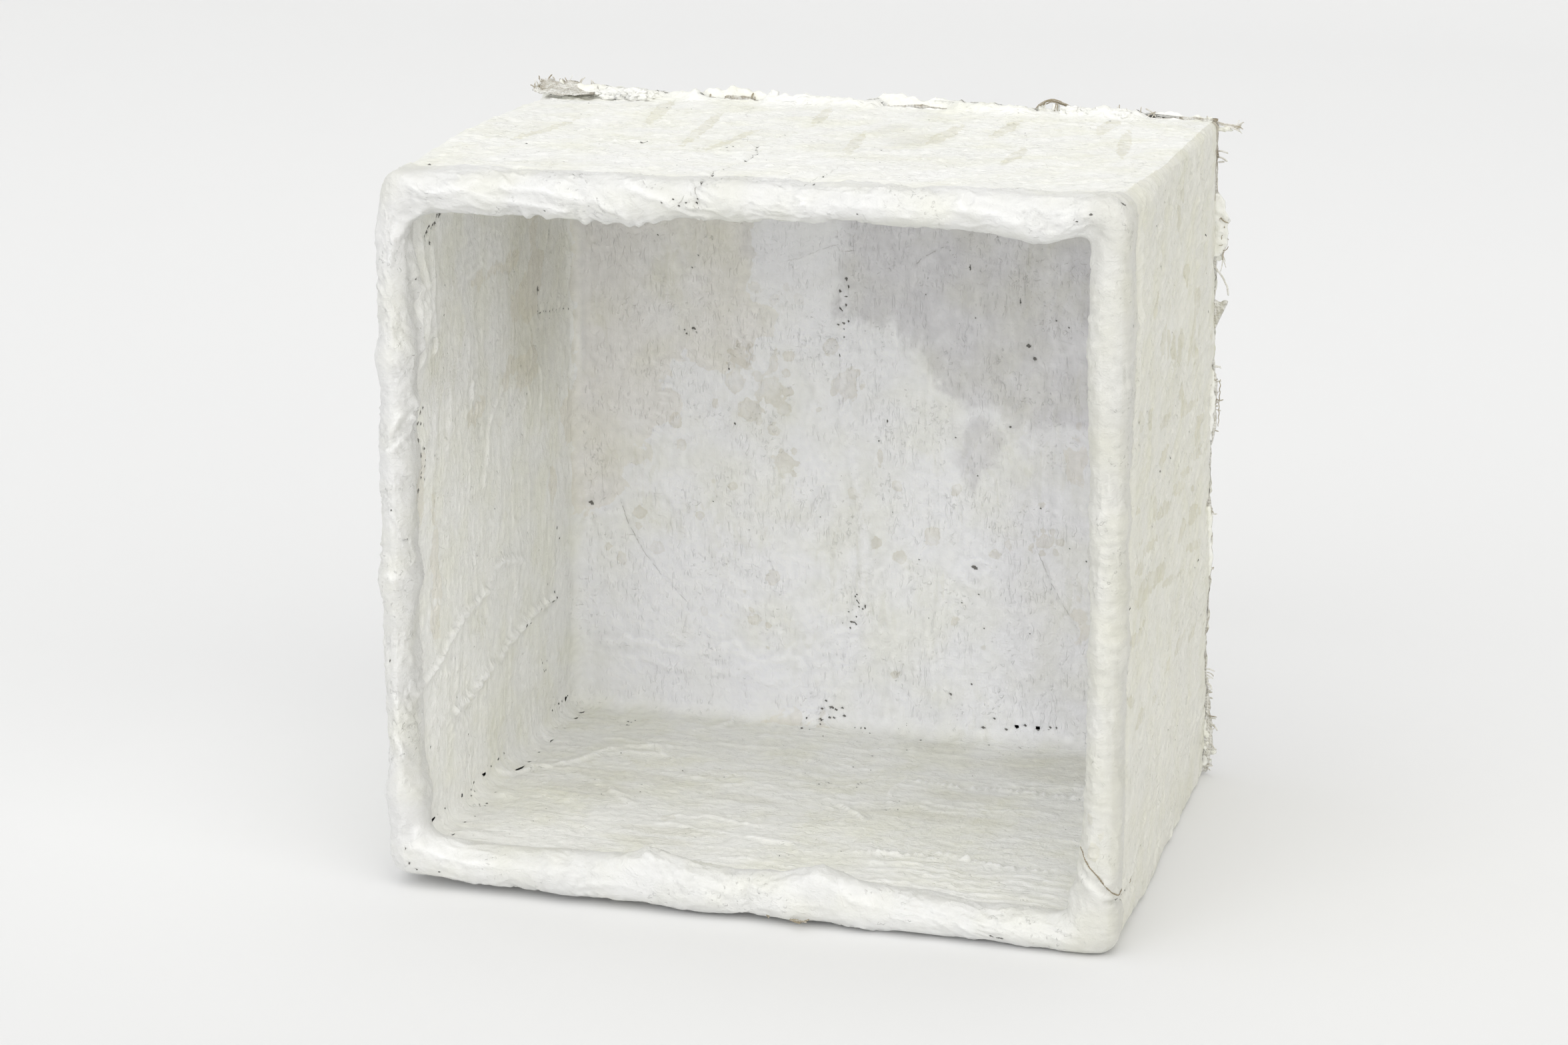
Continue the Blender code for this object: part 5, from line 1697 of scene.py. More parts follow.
def make_bead():
    rows = np.arange(BEAD_START, BEAD_END + 1)
    top_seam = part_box("rim_bead_top_left")[1].x * MM
    bottom_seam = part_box("rim_bead_bottom_left")[1].x * MM
    cuts = {"left": [("left", None)],
            "top": [("top_right", column_at("top", X_AXIS, top_seam, BEAD_START)), ("top_left", None)],
            "right": [("right_foot", column_at("right", Z_AXIS, CRACK_Z, BEAD_START)), ("right", None)],
            "bottom": [("bottom_left", column_at("bottom", X_AXIS, bottom_seam, BEAD_START)),
                       ("bottom_right", None)]}
    for side, stretches in cuts.items():
        start = 0
        for name, end in stretches:
            end = SIDE_COLUMNS if end is None else end
            numbers = RING[np.ix_(rows, side_columns(side, start, end))]
            loop_piece(f"rim_plaster_{name}", numbers, [], "rim", [f"rim_bead_{name}"])
            start = end


# --- Cloth and yarn ----------------------------------------------------------------------------------

def path_frames(path):
    """Two directions square to a path at each of its points, turning as little as they can."""
    ahead = np.gradient(path, axis=0)
    ahead /= np.linalg.norm(ahead, axis=1)[:, None] + 1e-12
    side = np.cross(ahead[0], (0.31, 0.17, 0.93))
    sides = []
    for direction in ahead:
        side = side - direction * (side @ direction)
        side /= np.linalg.norm(side)
        sides.append(side)
    sides = np.array(sides)
    return sides, np.cross(ahead, sides)


class Bundle:
    """Closed solids gathered into one mesh, such as the yarns of a fringe. Sizes are in millimetres."""

    def __init__(self):
        self.points = []
        self.quads = []
        self.others = []
        self.bare = []
        self.count = 0

    def add(self, points, quads, others, bare):
        self.points.append(points)
        self.quads.append(np.asarray(quads).reshape(-1, 4) + self.count)
        self.others += [[number + self.count for number in face] for face in others]
        self.bare.append(np.full(len(points), bare) if np.isscalar(bare) else bare)
        self.count += len(points)

    def tube(self, path, radius, bare=0.5, sides=6):
        path = np.asarray(path, float)
        across, up = path_frames(path)
        share = np.linspace(0, 1, len(path))
        reach = radius * (0.55 + 0.45 * np.minimum(1, 7 * np.minimum(share + 0.05, 1.05 - share)))
        angle = np.arange(sides) * 2 * math.pi / sides
        ring = across[:, None] * np.cos(angle)[:, None] + up[:, None] * np.sin(angle)[:, None]
        points = (path[:, None] + ring * reach[:, None, None]).reshape(-1, 3)
        numbers = np.arange(len(points)).reshape(-1, sides)
        numbers = np.concatenate([numbers, numbers[:, :1]], axis=1)
        quads, _ = grid_faces(numbers)
        self.add(points, quads, [list(numbers[0, :-1]), list(numbers[-1, -2::-1])], bare)

    def yarn(self, path, radius, bare=0.5, turn=4.0):
        """Two plies twisted together."""
        path = np.asarray(path, float)
        steps = np.concatenate([[0], np.cumsum(np.linalg.norm(np.diff(path, axis=0), axis=1))])
        stations = np.linspace(0, steps[-1], max(6, int(steps[-1] / (turn / 7))))
        path = np.stack([np.interp(stations, steps, path[:, axis]) for axis in range(3)], -1)
        across, up = path_frames(path)
        for phase in (0, math.pi):
            angle = stations * 2 * math.pi / turn + phase
            offset = across * np.cos(angle)[:, None] + up * np.sin(angle)[:, None]
            self.tube(path + offset * radius * 0.5, radius * 0.58, bare, 5)

    def lump(self, centre, reach, seed, rough=0.3, bare=0.0, detail=3):
        """A clot of plaster."""
        built = bmesh.new()
        bmesh.ops.create_icosphere(built, subdivisions=detail, radius=1.0)
        ball = np.array([v.co for v in built.verts])
        faces = [[v.index for v in face.verts] for face in built.faces]
        built.free()
        places = ball * np.array(reach, float) + np.array(centre, float)
        size = min(reach)
        swell = 1 + rough * layered(places, max(3.0, size * 1.1), 3, seed) * 1.6
        self.add(np.array(centre, float) + ball * np.array(reach, float) * swell[:, None],
                 np.zeros((0, 4), int), faces, bare)

    def sheet(self, grid, thick, bare=0.5):
        """A sheet of cloth from a grid of places."""
        rows, columns = grid.shape[:2]
        along = np.gradient(grid, axis=0)
        across = np.gradient(grid, axis=1)
        normal = np.cross(along, across)
        normal /= np.linalg.norm(normal, axis=2)[..., None] + 1e-12
        points = np.concatenate([(grid + normal * thick / 2).reshape(-1, 3),
                                 (grid - normal * thick / 2).reshape(-1, 3)])
        front_side = np.arange(rows * columns).reshape(rows, columns)
        back_side = front_side + rows * columns
        quads = [grid_faces(front_side)[0], grid_faces(back_side)[0][:, ::-1]]
        rim = np.concatenate([front_side[0], front_side[1:, -1], front_side[-1, -2::-1],
                              front_side[-2:0:-1, 0]])
        edge = np.stack([rim, rim + rows * columns])
        edge = np.concatenate([edge, edge[:, :1]], axis=1)
        quads.append(grid_faces(edge)[0][:, ::-1])
        self.add(points, np.concatenate(quads), [], bare if np.isscalar(bare) else np.tile(bare.ravel(), 2))

    def piece(self, name, look, nodes=()):
        """The mesh, put out of square as the box is."""
        points = warped(np.concatenate(self.points)) / MM
        bare = np.concatenate(self.bare)
        quads = np.concatenate(self.quads)
        return new_piece(name, points, quads, self.others, look, nodes, None, {"bare": bare})


def wandering(start, direction, length, curl, droop=0.0):
    """The path of a loose thread end, with a point about every millimetre."""
    count = max(4, int(length))
    spot = np.array(start, float)
    heading = np.array(direction, float)
    heading /= np.linalg.norm(heading)
    bend = rng.normal(size=3) * curl
    path = [spot.copy()]
    for _ in range(count):
        bend = 0.8 * bend + rng.normal(size=3) * curl * 0.5
        heading = heading + bend * 0.35 + np.array((0, 0, -droop))
        heading /= np.linalg.norm(heading)
        spot = spot + heading * length / count
        path.append(spot.copy())
    return path


# How far the back scrim's torn edge stands out beyond each side: places along it and the margin.
MARGINS = {"right": [(0, 2), (8, 5), (30, 8), (60, 6), (85, 3), (95, 0.6), (165, 0.6), (172, 3), (190, 4),
                     (232, 3), (240, 0.6), (284, 0.6), (290, 3), (318, 5), (350, 3), (356, 0.6), (440, 0.6),
                     (446, 5), (455, 9), (475, 8), (490, 4), (496, 0.5), (553, 0.5)],
           "left": [(0, 1), (552, 1)],
           "top": [(-282, -1), (-152, -1), (-138, 1.8), (-122, 3.8), (-106, 2.4), (-92, -1), (0, -1),
                   (14, 1.4), (34, 2.6), (50, 1.2), (64, -1), (130, -1), (134, 1), (164, 1), (200, 0.6),
                   (222, 0.2), (240, 1.4), (262, 2.2), (284, 1.2)],
           "bottom": [(-282, -1), (282, -1)]}
SHEET_Y = (SLAB_Y + WALL_BACK) / 2 + 0.9


def torn_margin(side, along):
    places, margins = np.array(MARGINS[side], float).T
    spots = np.stack([along, np.full(len(along), 17.0 * len(side)), np.zeros(len(along))], -1)
    torn = layered(spots, 9, 3, 130) * {"right": 1.2, "top": 1.3}.get(side, 0)
    return np.interp(along, places, margins) + torn


def scrim_outline(low_x, high_x):
    """The torn edge of a back sheet between two places across, as (x, z) points in order."""
    pitch = 2.0
    edges = []
    xs = np.arange(low_x, high_x, pitch)
    edges.append(np.stack([xs, 1.0 - torn_margin("bottom", xs)], -1))
    if high_x > 200:
        zs = np.arange(2, TALL, pitch)
        edges.append(np.stack([HALF_X + torn_margin("right", zs), zs], -1))
    else:
        edges.append(np.array([(high_x, z) for z in np.arange(2, TALL, 20.0)]))
    xs = np.arange(high_x, low_x, -pitch)
    edges.append(np.stack([xs, TALL + torn_margin("top", xs)], -1))
    if low_x < -200:
        zs = np.arange(TALL, 2, -pitch)
        edges.append(np.stack([-HALF_X - torn_margin("left", zs), zs], -1))
    else:
        edges.append(np.array([(low_x, z) for z in np.arange(TALL, 2, -20.0)]))
    return np.concatenate(edges)


def bare_share(x, z):
    """Where the jute shows brown and not white with plaster."""
    slits = 0.3 * ramp(z, TALL, TALL + 1) * (1 - ramp(z, TALL + 4, TALL + 6))
    corner = 0.25 * ramp(z, 494, 504) * ramp(x, 275, 281)
    return np.clip(0.12 + corner + slits + 0.35 * noise(np.stack([x, z, 0 * x], -1), 10, 133), 0, 1)


def make_back_scrims():
    """The two sheets between the walls and the slab. Their torn edges and yarn ends show all round."""
    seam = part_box("back_scrim_left")[1].x * MM
    for name, low_x, high_x in [("left", -HALF_X, seam), ("right", seam + 0.3, HALF_X)]:
        outline = scrim_outline(low_x, high_x)
        middle = np.array(((low_x + high_x) / 2, HALF_Z))
        rings = []
        for inward in (0.0, 1.5, 4.0, 8.0, 14.0):
            away = middle - outline
            reach = np.maximum(np.abs(away[:, 0]) / (high_x - low_x), np.abs(away[:, 1]) / TALL) * 2
            ring = outline + away * (inward / 150) * reach[:, None]
            spots = np.stack([ring[:, 0], np.full(len(ring), 5.0), ring[:, 1]], -1)
            wave = 1.6 * noise(spots, 13, 134) * max(0.0, 1 - inward / 7)
            rings.append(np.stack([ring[:, 0], SHEET_Y + wave, ring[:, 1]], -1))
        rings = np.array(rings)
        count = rings.shape[1]
        bundle = Bundle()
        front_side = rings - np.array((0, 0.6, 0))
        back_side = rings[::-1] + np.array((0, 0.6, 0))
        points = np.concatenate([front_side, back_side]).reshape(-1, 3)
        numbers = np.arange(len(points)).reshape(-1, count)
        stack = np.concatenate([numbers[4::-1], numbers[:4:-1]])
        stack = np.concatenate([stack, stack[:, :1]], axis=1)
        quads, _ = grid_faces(stack)
        lids = [list(stack[0, :-1]), list(stack[-1, -2::-1])]
        bundle.add(points, quads, lids, bare_share(points[:, 0], points[:, 2]))
        sheet = bundle.piece(f"back_scrim_{name}_cloth", "scrim", [f"back_scrim_{name}"])
        fringe = make_fringe(name, outline)


def make_fringe(name, outline):
    """Yarn ends along a sheet's torn edge. They are longer and closer where the photograph shows tufts."""
    bundle = Bundle()
    tufts = {"right": [(4, 92, 5.0, 0.45), (171, 180, 3.0, 0.4), (222, 234, 3.0, 0.4), (288, 352, 4.5, 0.35),
                       (444, 494, 2.0, 0.2), (520, 530, 4.0, 0.2)],
             "top": [(168, 226, 3.5, 0.4), (226, 284, 2.0, 0.15), (-110, -84, 2.5, 0.3),
                     (-150, -126, 2.5, 0.2)],
             "left": [(0, 552, 2.0, 0.12)], "bottom": []}
    for x, z in outline[:-1]:
        if z > TALL:
            side, along, away = "top", x, (0, 0, 1)
        elif x > HALF_X:
            side, along, away = "right", z, (1, 0, 0)
        elif x < -HALF_X:
            side, along, away = "left", z, (-1, 0, 0)
        else:
            continue
        length, chance = 1.2, 0.03
        for low, high, long, share in tufts[side]:
            if low <= along <= high:
                length, chance = long, share
        lot = rng.uniform(size=4)
        if lot[0] > chance:
            continue
        direction = np.array(away, float) + rng.normal(size=3) * (0.35, 0.3, 0.35)
        start = (x - 1.5 * away[0], SHEET_Y + rng.uniform(-0.6, 0.6), z - 1.5 * away[2])
        path = wandering(start, direction, 2 + length * (0.4 + lot[1] ** 2 * 1.2), 0.35, 0.02)
        bare = float(np.clip(bare_share(np.array([x]), np.array([z]))[0] + 0.5 * (lot[2] - 0.5), 0, 1))
        bundle.tube(path, 0.42 + 0.4 * lot[3], bare)
    return bundle.piece(f"back_scrim_{name}_fringe", "yarn")


def net(bundle, corner, across, up, columns, rows, radius, bare, sag, holes):
    """A scrap of open scrim: yarns both ways, some of them missing."""
    corner, across, up = (np.array(v, float) for v in (corner, across, up))
    depth = np.cross(across, up)
    depth /= np.linalg.norm(depth)

    def spot(i, j):
        base = corner + across * i / (columns - 1) + up * j / (rows - 1)
        return base + depth * sag * noise_at(base, 7, 140) * 2

    for i in range(columns):
        if rng.uniform() < holes:
            continue
        last = rows - 1 - int(rng.integers(0, 2))
        stations = np.linspace(0, last, 3 * rows)
        bundle.tube([spot(i + 0.12 * math.sin(j * 3 + i), j) + depth * 0.35 * math.cos(math.pi * (i + j))
                     for j in stations], radius, bare)
    for j in range(rows):
        if rng.uniform() < holes:
            continue
        last = columns - 1 - int(rng.integers(0, 2))
        stations = np.linspace(-0.5, last, 3 * columns)
        bundle.tube([spot(i, j + 0.12 * math.sin(i * 3 + j)) - depth * 0.35 * math.cos(math.pi * (i + j))
                     for i in stations], radius, bare)


def make_edge_scraps():
    """What hangs off the back's right and top edges: flaps, scraps of net, a tuft and clots of plaster."""
    nets = Bundle()
    for _ in range(15):
        low = rng.uniform(0, 1) ** 1.6
        start = (288 + rng.uniform(-4, 3) - 3 * low, SHEET_Y - 3 + rng.uniform(0, 2), 446 + 34 * low)
        path = wandering(start, rng.normal(size=3), rng.uniform(3, 8), 0.7, 0.05)
        nets.tube(path, rng.uniform(0.3, 0.5), rng.uniform(0.5, 1.0))
    net(nets, (280, SHEET_Y, 300), (6, 0, 1), (1, 0, 40), 4, 15, 0.4, 0.5, 1.2, 0.45)
    for z, reach in ((446, 16), (444, 11), (447, 9)):
        nets.tube(wandering((286, SHEET_Y - 1, z), (0.1, 0, -1), reach, 0.12), 0.4, 0.15)
    for z in np.arange(8, 90, 5.5):
        start = (279, SHEET_Y + rng.uniform(-1, 1), z)
        heading = (1, rng.uniform(-0.3, 0.3), rng.uniform(-0.4, 0.5))
        curl = wandering(start, heading, rng.uniform(5, 13), 0.5, 0.03)
        nets.tube(curl, rng.uniform(0.6, 1.0), rng.uniform(0.0, 0.25))
    thread = [(277, SHEET_Y, 436), (281, SHEET_Y - 1, 433), (287, SHEET_Y - 2, 426), (291, SHEET_Y - 2, 418),
              (292, SHEET_Y - 2, 411)]
    nets.yarn(thread, 0.9, 0.1)
    # The eye-shaped blister of brown net on the top edge.
    for shift in range(3):
        low = 555.6 - 0.4 * shift
        high = 563.6 - 1.3 * shift
        arch = [(132 + shift + (33 - 2 * shift) * t, SHEET_Y - 2 + 2.4 * shift + rng.uniform(-0.5, 0.5),
                 low + (high - low) * math.sin(math.pi * t ** 0.8) + rng.uniform(-0.4, 0.4))
                for t in np.linspace(0, 1, 14)]
        nets.tube(arch, rng.uniform(0.35, 0.6), rng.uniform(0.5, 0.95))
    for x in (139, 147, 150, 158):
        t = (x - 131) / 35
        crown = 554.5 + 8 * math.sin(math.pi * t ** 0.8)
        lean = rng.uniform(-1.5, 2.5)
        nets.tube([(x, SHEET_Y - 3, 552), (x + 0.6 * lean, SHEET_Y - 3.4, (552 + crown) / 2),
                   (x + lean, SHEET_Y - 1, crown)], rng.uniform(0.35, 0.7), rng.uniform(0, 0.6))
    # The tuft at the top right corner: threads that leave together and part at their ends.
    for _ in range(16):
        spread = rng.uniform(-1, 1)
        start = (277 + rng.uniform(-2, 2), SHEET_Y + rng.uniform(-1.5, 1), 551 + 1.5 * spread)
        path = [start, (285, SHEET_Y, 549.5 + 0.8 * spread), (292, SHEET_Y, 548.5 + 1.5 * spread)]
        path += wandering((293.5, SHEET_Y, 548 + 1.8 * spread), (1, 0.1, 0.5 * spread), rng.uniform(3, 8),
                          0.25)
        nets.tube(path, rng.uniform(0.35, 0.6), rng.uniform(0.05, 0.5))
    for z, reach in [(528, 8), (523, 9), (519, 5)]:
        nets.tube(wandering((281, SHEET_Y, z), (1, -0.1, 0.1), reach, 0.15, 0.03), 0.8, 0.0)
    for x in np.arange(168, 230, 3.4):
        start = (x + rng.uniform(-1, 1), SHEET_Y - rng.uniform(0, 3), 552)
        path = wandering(start, (rng.uniform(-0.8, 0.8), -0.2, 1), rng.uniform(5, 12), 0.3, 0.02)
        nets.tube(path, rng.uniform(0.35, 0.6), rng.uniform(0.0, 0.6))
    nets.piece("edge_net_and_threads", "yarn")

    flap = Bundle()
    grid = []
    for t in np.linspace(0, 1, 16):
        width = 1.5 + 12.5 * t ** 1.1
        row = []
        for u in np.linspace(0, 1, 10):
            curl = 3.0 * math.sin(math.pi * u) * t - 2 * u
            edge = 1.2 * math.sin(9 * u) * (t > 0.95)
            row.append((278 + width * u, SHEET_Y - 2 + curl, 379 + 27 * t + edge - 2.5 * u * (1 - t)))
        grid.append(row)
    flap.sheet(np.array(grid), 1.3, 0.02)
    tongue = flap.piece("edge_flap", "scrim")

    clots = Bundle()
    for low, high, wide, seed in [(442, 494, 13, 290), (172, 233, 5.5, 292), (290, 350, 4.5, 294)]:
        crust = []
        for t in np.linspace(0, 1, 2 + int((high - low) / 1.6)):
            z = low + (high - low) * t
            reach = wide * math.sin(math.pi * min(1, t * 0.9 + 0.08)) ** 0.5
            reach += 2.2 * noise_at((z, 0, 0), 7, seed)
            places = []
            for u in np.linspace(0, 1, 9):
                here = (z, reach * u, 0)
                lift = 2.2 * noise_at(here, 6, seed + 1) + 1.6 * math.sin(math.pi * u)
                places.append((278 + reach * u, SHEET_Y - 1 - lift, z + 1.2 * noise_at(here, 5, seed + 2)))
            crust.append(places)
        clots.sheet(np.array(crust), 2.2, 0.0)
    for index, (x, z, reach_x, reach_z) in enumerate(
            [(282, 470, 5, 14), (286, 462, 4, 6), (280, 452, 4, 5), (283, 442, 6, 3.5), (280, 320, 3.5, 20),
             (281, 342, 4, 5), (280, 202, 4, 20), (282, 222, 3.5, 8), (279, 60, 4, 22), (283, 40, 5, 8),
             (284, 26, 5, 4), (282, 12, 7, 5), (288, 20, 4, 2.5), (278, 120, 2.5, 30), (278, 260, 2, 30)]):
        clots.lump((x - 2, SHEET_Y + 1.5, z), (reach_x, 3.2, reach_z), 150 + index, 0.35)
    for index, (x, z, reach_x, reach_z) in enumerate(
            [(142, 553, 9, 2.5), (170, 555, 7, 3), (186, 556, 8, 3.5), (205, 555, 8, 3), (120, 554, 10, 3),
             (96, 554, 10, 3), (-88, 556, 6, 4), (136, 555, 3, 2.5), (148, 556, 3, 3.5), (160, 555, 4, 2.5),
             (286, 546, 5, 2), (-156, 554, 6, 2.5)]):
        clots.lump((x, SHEET_Y + 0.5, z), (reach_x, 4, reach_z), 170 + index, 0.4)
    clots.piece("edge_plaster_clots", "outer")


def make_rag():
    """The crumpled scrap of scrim at the top left, with plaster clots round it."""
    low, _ = cad_mm("scrim_rag_top_left")
    wide, deep = 52.0, 40.0
    us, vs = np.meshgrid(np.linspace(0, 1, 34), np.linspace(0, 1, 26))
    flat = np.stack([us * wide, vs * deep, 0 * us], -1)
    spots = flat.reshape(-1, 3)
    lift = 4.0 * noise(spots, (13, 20, 20), 180) + 2.2 * np.abs(noise(spots, (7, 9, 9), 182))
    lift = lift.reshape(us.shape)
    push = 2.5 * noise(spots, 12, 184).reshape(us.shape)
    grid = np.stack([low[0] - 6 + flat[..., 0] * 0.93 + push, low[1] - 2 + flat[..., 1] * 0.9,
                     low[2] + 4.5 + lift + 3.5 * ramp(vs, 0.4, 1.0) * ramp(1 - us, 0.1, 0.8)], -1)
    bare = 0.3 + 0.3 * noise(spots, 9, 186).reshape(us.shape)
    rag = Bundle()
    rag.sheet(grid, 1.3, bare)
    cloth = rag.piece("rag_cloth", "scrim", ["scrim_rag_top_left"])
    fringe = Bundle()
    for t in np.linspace(0, 1, 30):
        edge = grid[-1, int(t * 33)] if t % 0.2 < 0.1 else grid[int(t * 25), 0]
        fringe.tube(wandering(edge, (rng.uniform(-0.6, 0.2), rng.uniform(-0.4, 0.4), 0.8),
                              rng.uniform(3, 8), 0.4, 0.05), rng.uniform(0.35, 0.6), rng.uniform(0, 0.6))
    threads = fringe.piece("rag_threads", "yarn")
    clots = Bundle()
    for index, (x, y, z, reach) in enumerate([(-276, 204, 553, (8, 6, 6)), (-262, 190, 553, (11, 10, 4)),
                                              (-284, 206, 548, (4, 4, 7)), (-246, 203, 554, (11, 7, 5)),
                                              (-270, 207, 558, (6, 4, 4)), (-254, 182, 551, (12, 8, 3))]):
        clots.lump((x, y, z), reach, 190 + index, 0.4)
    clots.piece("rag_plaster_clots", "outer")


def make_back_lumps():
    for name, seed in (("left", 200), ("right", 220)):
        low, high = cad_mm(f"top_back_lump_{name}")
        middle = (low + high) / 2
        reach = (high - low) / 2
        bundle = Bundle()
        bundle.lump(middle - (0, 0, 1.5), (reach[0] * 1.1, reach[1] * 1.1, reach[2] + 2.0), seed, 0.22, 0, 5)
        for step in range(5):
            x = low[0] + (high[0] - low[0]) * (step + 0.5) / 5 + rng.uniform(-3, 3)
            bundle.lump((x, middle[1] + rng.uniform(-2, 5), low[2] + 2 + rng.uniform(0, 2.5)),
                        (rng.uniform(6, 11), rng.uniform(5, 9), rng.uniform(2.5, 4)), seed + 2 + step, 0.3,
                        0, 4)
        bundle.piece(f"back_lump_{name}", "outer", [f"top_back_lump_{name}"])


def make_hidden_cloth():
    """The scrim inside the walls and the rolls inside the rim. The plaster hides them."""
    for name, fixed in [("left_scrim", 0), ("right_scrim", 0), ("bottom_scrim", 2), ("top_scrim_left", 2),
                        ("top_scrim_right", 2)]:
        low, high = cad_mm(name)
        wide, tall = (1, 2) if fixed == 0 else (0, 1)
        us, vs = np.meshgrid(np.linspace(low[wide], high[wide], 34), np.linspace(low[tall], high[tall], 40))
        grid = np.zeros(us.shape + (3,))
        grid[..., wide] = us
        grid[..., tall] = vs
        grid[..., fixed] = (low[fixed] + high[fixed]) / 2
        grid[..., fixed] += 0.35 * noise(grid.reshape(-1, 3), 24, 240).reshape(us.shape)
        bundle = Bundle()
        bundle.sheet(grid, high[fixed] - low[fixed] - 0.4, 0.35)
        cloth = bundle.piece(f"{name}_cloth", "scrim", [name])
        name.split("_")[0] + "_outer_plaster"
    for side in SIDES:
        low, high = cad_mm(f"rim_roll_{side}")
        centre = (low + high) / 2
        length_axis = 2 if side in ("left", "right") else 0
        cross = [axis for axis in range(3) if axis != length_axis]
        outer = (high[cross[0]] - low[cross[0]]) / 2 - 2.0
        turns, inner = 2.4, 1.6
        angles = np.linspace(0, turns * 2 * math.pi, 60)
        reach = inner + (outer - inner) * angles / angles[-1]
        stations = np.linspace(low[length_axis], high[length_axis], 70)
        grid = np.zeros((len(stations), len(angles), 3))
        grid[..., length_axis] = stations[:, None]
        turn = angles[None] + 0.5 * np.sin(stations / 60)[:, None]
        grid[..., cross[0]] = centre[cross[0]] + reach * np.cos(turn)
        grid[..., cross[1]] = centre[cross[1]] + reach * np.sin(turn)
        if side == "left":
            # The left bead bows outwards, and its roll with it.
            z = stations[:, None]
            grid[..., 0] -= 4.0 * ramp(z, 60, 180) * (1 - ramp(z, 500, 548))
        bundle = Bundle()
        bundle.sheet(grid, 0.9, 0.5)
        roll = bundle.piece(f"rim_roll_{side}_cloth", "scrim", [f"rim_roll_{side}"])


def on_skin(face, a, b, proud):
    """The place on the finished surface nearest to a face's own coordinates."""
    best = int(np.argmin((face.a - a) ** 2 + (face.b - b) ** 2 + 400 * (face.weight < 0.9)))
    number = face.index[best]
    return final[number] * MM + final_normals[number] * proud


def make_loose_yarns():
    seam = column_at("right", Z_AXIS, CRACK_Z, BEAD_START)
    column = side_columns("right", seam, seam)[0]
    rows = np.arange(BEAD_START, BEAD_END - 16 // 1, 3)[::-1]
    numbers = RING[rows, column]
    path = list(final[numbers] * MM + final_normals[numbers] * 0.1)
    crack = [(-190, 38), (-180, 37), (-166, 36), (-152, 38), (-138, 41), (-124, 46), (-110, 48), (-96, 47)]
    path += [on_skin(right_out, y, z, -0.1) for y, z in crack]
    bundle = Bundle()
    bundle.yarn(path, 0.62, 0.85)
    # These places are on the finished surface, so they aren't put out of square again.
    points = np.concatenate(bundle.points) / MM
    new_piece("crack_yarn_strands", points, np.concatenate(bundle.quads), bundle.others, "yarn",
              ["crack_yarn"], None, {"bare": np.concatenate(bundle.bare)})
    tuft = Bundle()
    low, high = cad_mm("loose_yarn_front")
    start = np.array((low[0] + 1, high[1] + 1.0, high[2] - 0.8))
    for reach, rise in ((16, -0.1), (14, 0.02), (10, -0.2), (7, 0.2)):
        heading = (1, -0.45 + rng.uniform(-0.2, 0.2), rise)
        tuft.yarn(wandering(start, heading, reach, 0.12), 0.7, rng.uniform(0.5, 0.9))
    for _ in range(4):
        heading = (rng.uniform(-1, 0.3), -0.6, rng.uniform(-0.2, 0.3))
        tuft.tube(wandering(start + (-16, 0, 1), heading, rng.uniform(3, 6), 0.3), 0.45, 0.6)
    tuft.piece("loose_yarn_tuft", "yarn", ["loose_yarn_front"])


make_walls()
make_fillets()
make_back()
make_bead()
make_back_scrims()
make_edge_scraps()
make_rag()
make_back_lumps()
make_hidden_cloth()
make_loose_yarns()


# --- Camera, floor and light -------------------------------------------------------------------------

# From a camera solve on the corners of the box.
CAMERA_PLACE = (0.6413, -2.5865, 0.9678)
CAMERA_TURNS = (14.435, 15.018, 0.224)         # yaw, pitch and roll, in degrees
LENS = 80.9


def make_camera():
    data = bpy.data.cameras.new("camera")
    data.sensor_width = 36.0
    data.lens = LENS
    camera = bpy.data.objects.new("camera", data)
    bpy.context.scene.collection.objects.link(camera)
    yaw, pitch, roll = (math.radians(angle) for angle in CAMERA_TURNS)
    ahead = Vector((-math.sin(yaw) * math.cos(pitch), math.cos(yaw) * math.cos(pitch), -math.sin(pitch)))
    flat = Vector((math.cos(yaw), math.sin(yaw), 0))
    up = flat.cross(ahead)
    right = math.cos(roll) * flat + math.sin(roll) * up
    up = -math.sin(roll) * flat + math.cos(roll) * up
    turn = Matrix((right, up, -ahead)).transposed().to_4x4()
    camera.matrix_world = Matrix.Translation(CAMERA_PLACE) @ turn
    bpy.context.scene.camera = camera


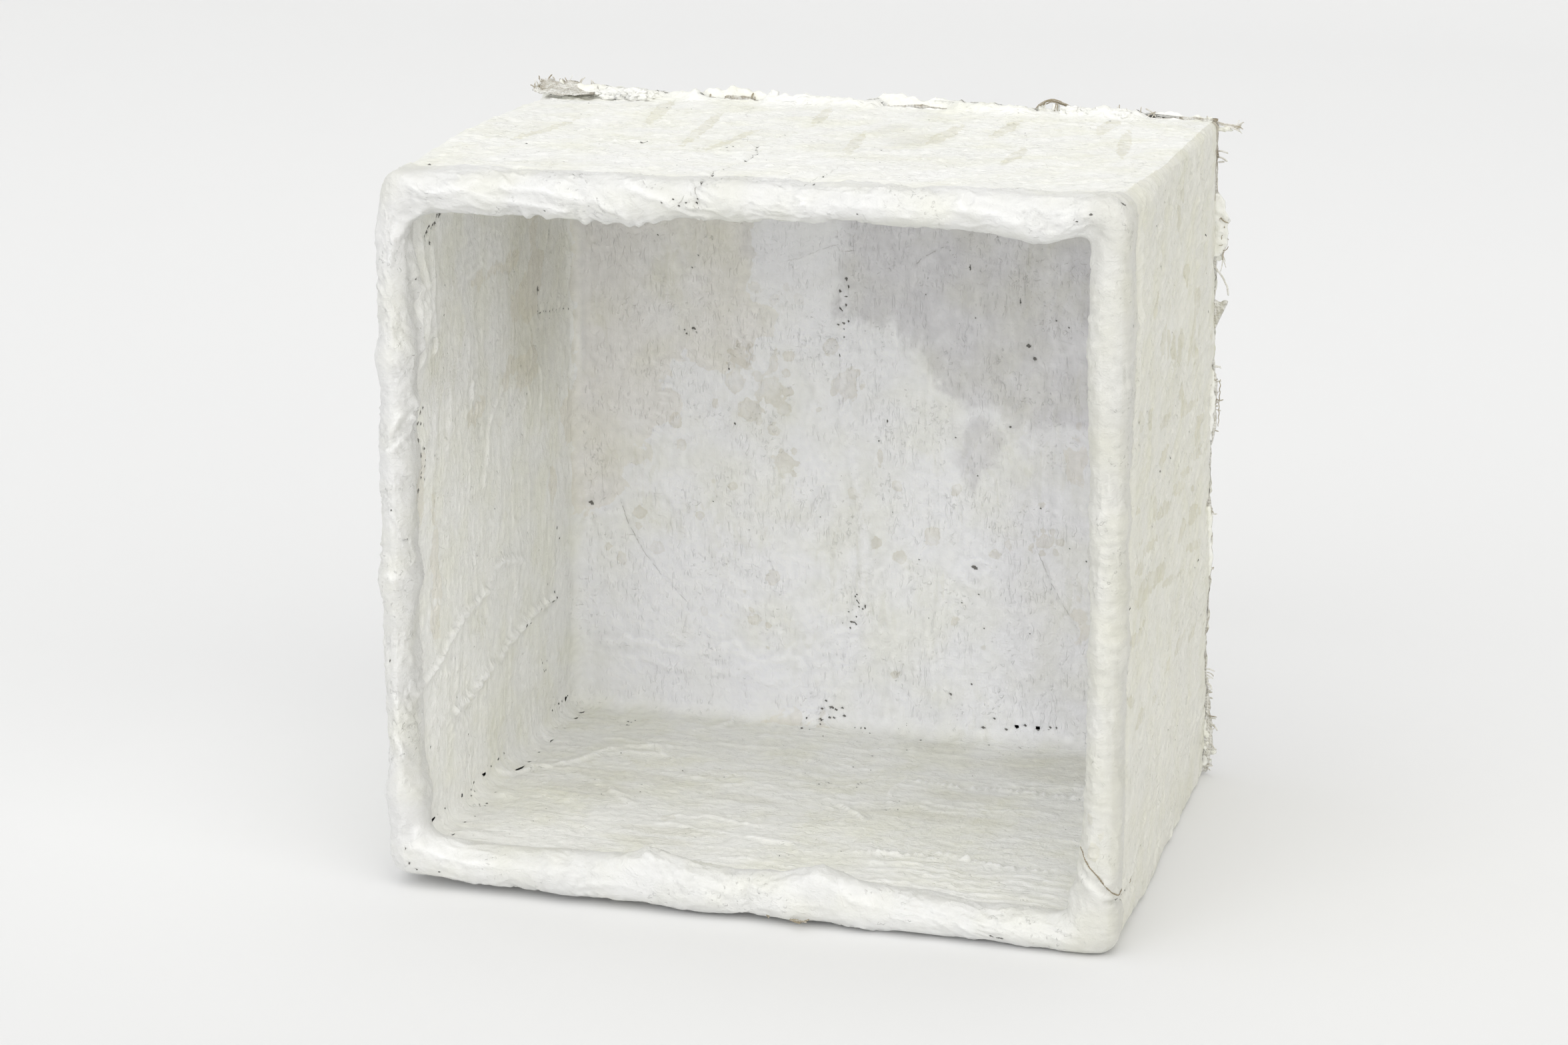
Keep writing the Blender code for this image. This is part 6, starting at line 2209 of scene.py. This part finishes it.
def make_floor():
    """A pale sheet on the ground that rises far behind the object."""
    mesh = bpy.data.meshes.new("studio_floor")
    built = bmesh.new()
    profile = [(-9.0, 0.0), (5.0, 0.0)]
    for step in range(1, 13):
        angle = step / 12 * math.pi / 2
        profile.append((5.0 + 4.0 * math.sin(angle), 4.0 * (1 - math.cos(angle))))
    profile.append((9.0, 9.0))
    rows = [[built.verts.new((x, y, z)) for x in (-14.0, 14.0)] for y, z in profile]
    for low, high in zip(rows[:-1], rows[1:]):
        built.faces.new((low[0], low[1], high[1], high[0]))
    built.to_mesh(mesh)
    built.free()
    mesh.polygons.foreach_set("use_smooth", [True] * len(mesh.polygons))
    n = Nodes("studio_paper")
    paper = n.mix(n.noise(900, 1), (0.850, 0.852, 0.856), (0.862, 0.863, 0.862))
    # Painted shade: the paper darkens the farther back it lies.
    far = n.ramp(n.xyz[1], 600, 6500, 1.0, 0.872)
    n.finish(n.mix(1.0, paper, n.grey(far), "MULTIPLY"), 0.8, 0.1)
    mesh.materials.append(n.material)
    floor = bpy.data.objects.new("studio_floor", mesh)
    bpy.context.scene.collection.objects.link(floor)


# The soft lights round the box: name, where each comes from (degrees from the front, degrees up),
# strength and colour.
LIGHTS = [("overhead", 0, 85, 0.97, (1.0, 0.995, 0.97)), ("front_left", -35, 35, 0.24, (0.97, 0.98, 1.0)),
          ("front_low", -15, 20, 0.98, (0.98, 0.985, 1.0)), ("left", -90, 35, 0.31, (0.96, 0.975, 1.0)),
          ("front_right", 48, 30, 0.95, (1.0, 0.985, 0.945))]


def make_lights():
    world = bpy.data.worlds.new("studio")
    world.use_nodes = True
    background = world.node_tree.nodes["Background"]
    background.inputs["Color"].default_value = (1.0, 1.0, 1.0, 1.0)
    background.inputs["Strength"].default_value = 0.3
    bpy.context.scene.world = world
    for name, turn, rise, strength, colour in LIGHTS:
        data = bpy.data.lights.new(name, "SUN")
        data.angle = math.radians(60)
        data.energy = strength
        data.color = colour
        light = bpy.data.objects.new(name, data)
        bpy.context.scene.collection.objects.link(light)
        turn = math.radians(turn)
        rise = math.radians(rise)
        source = Vector((math.sin(turn) * math.cos(rise), -math.cos(turn) * math.cos(rise), math.sin(rise)))
        light.rotation_euler = (-source).to_track_quat("-Z", "Y").to_euler()
    view = bpy.context.scene.view_settings
    view.view_transform = "Standard"
    view.look = "None"


make_camera()
make_floor()
make_lights()
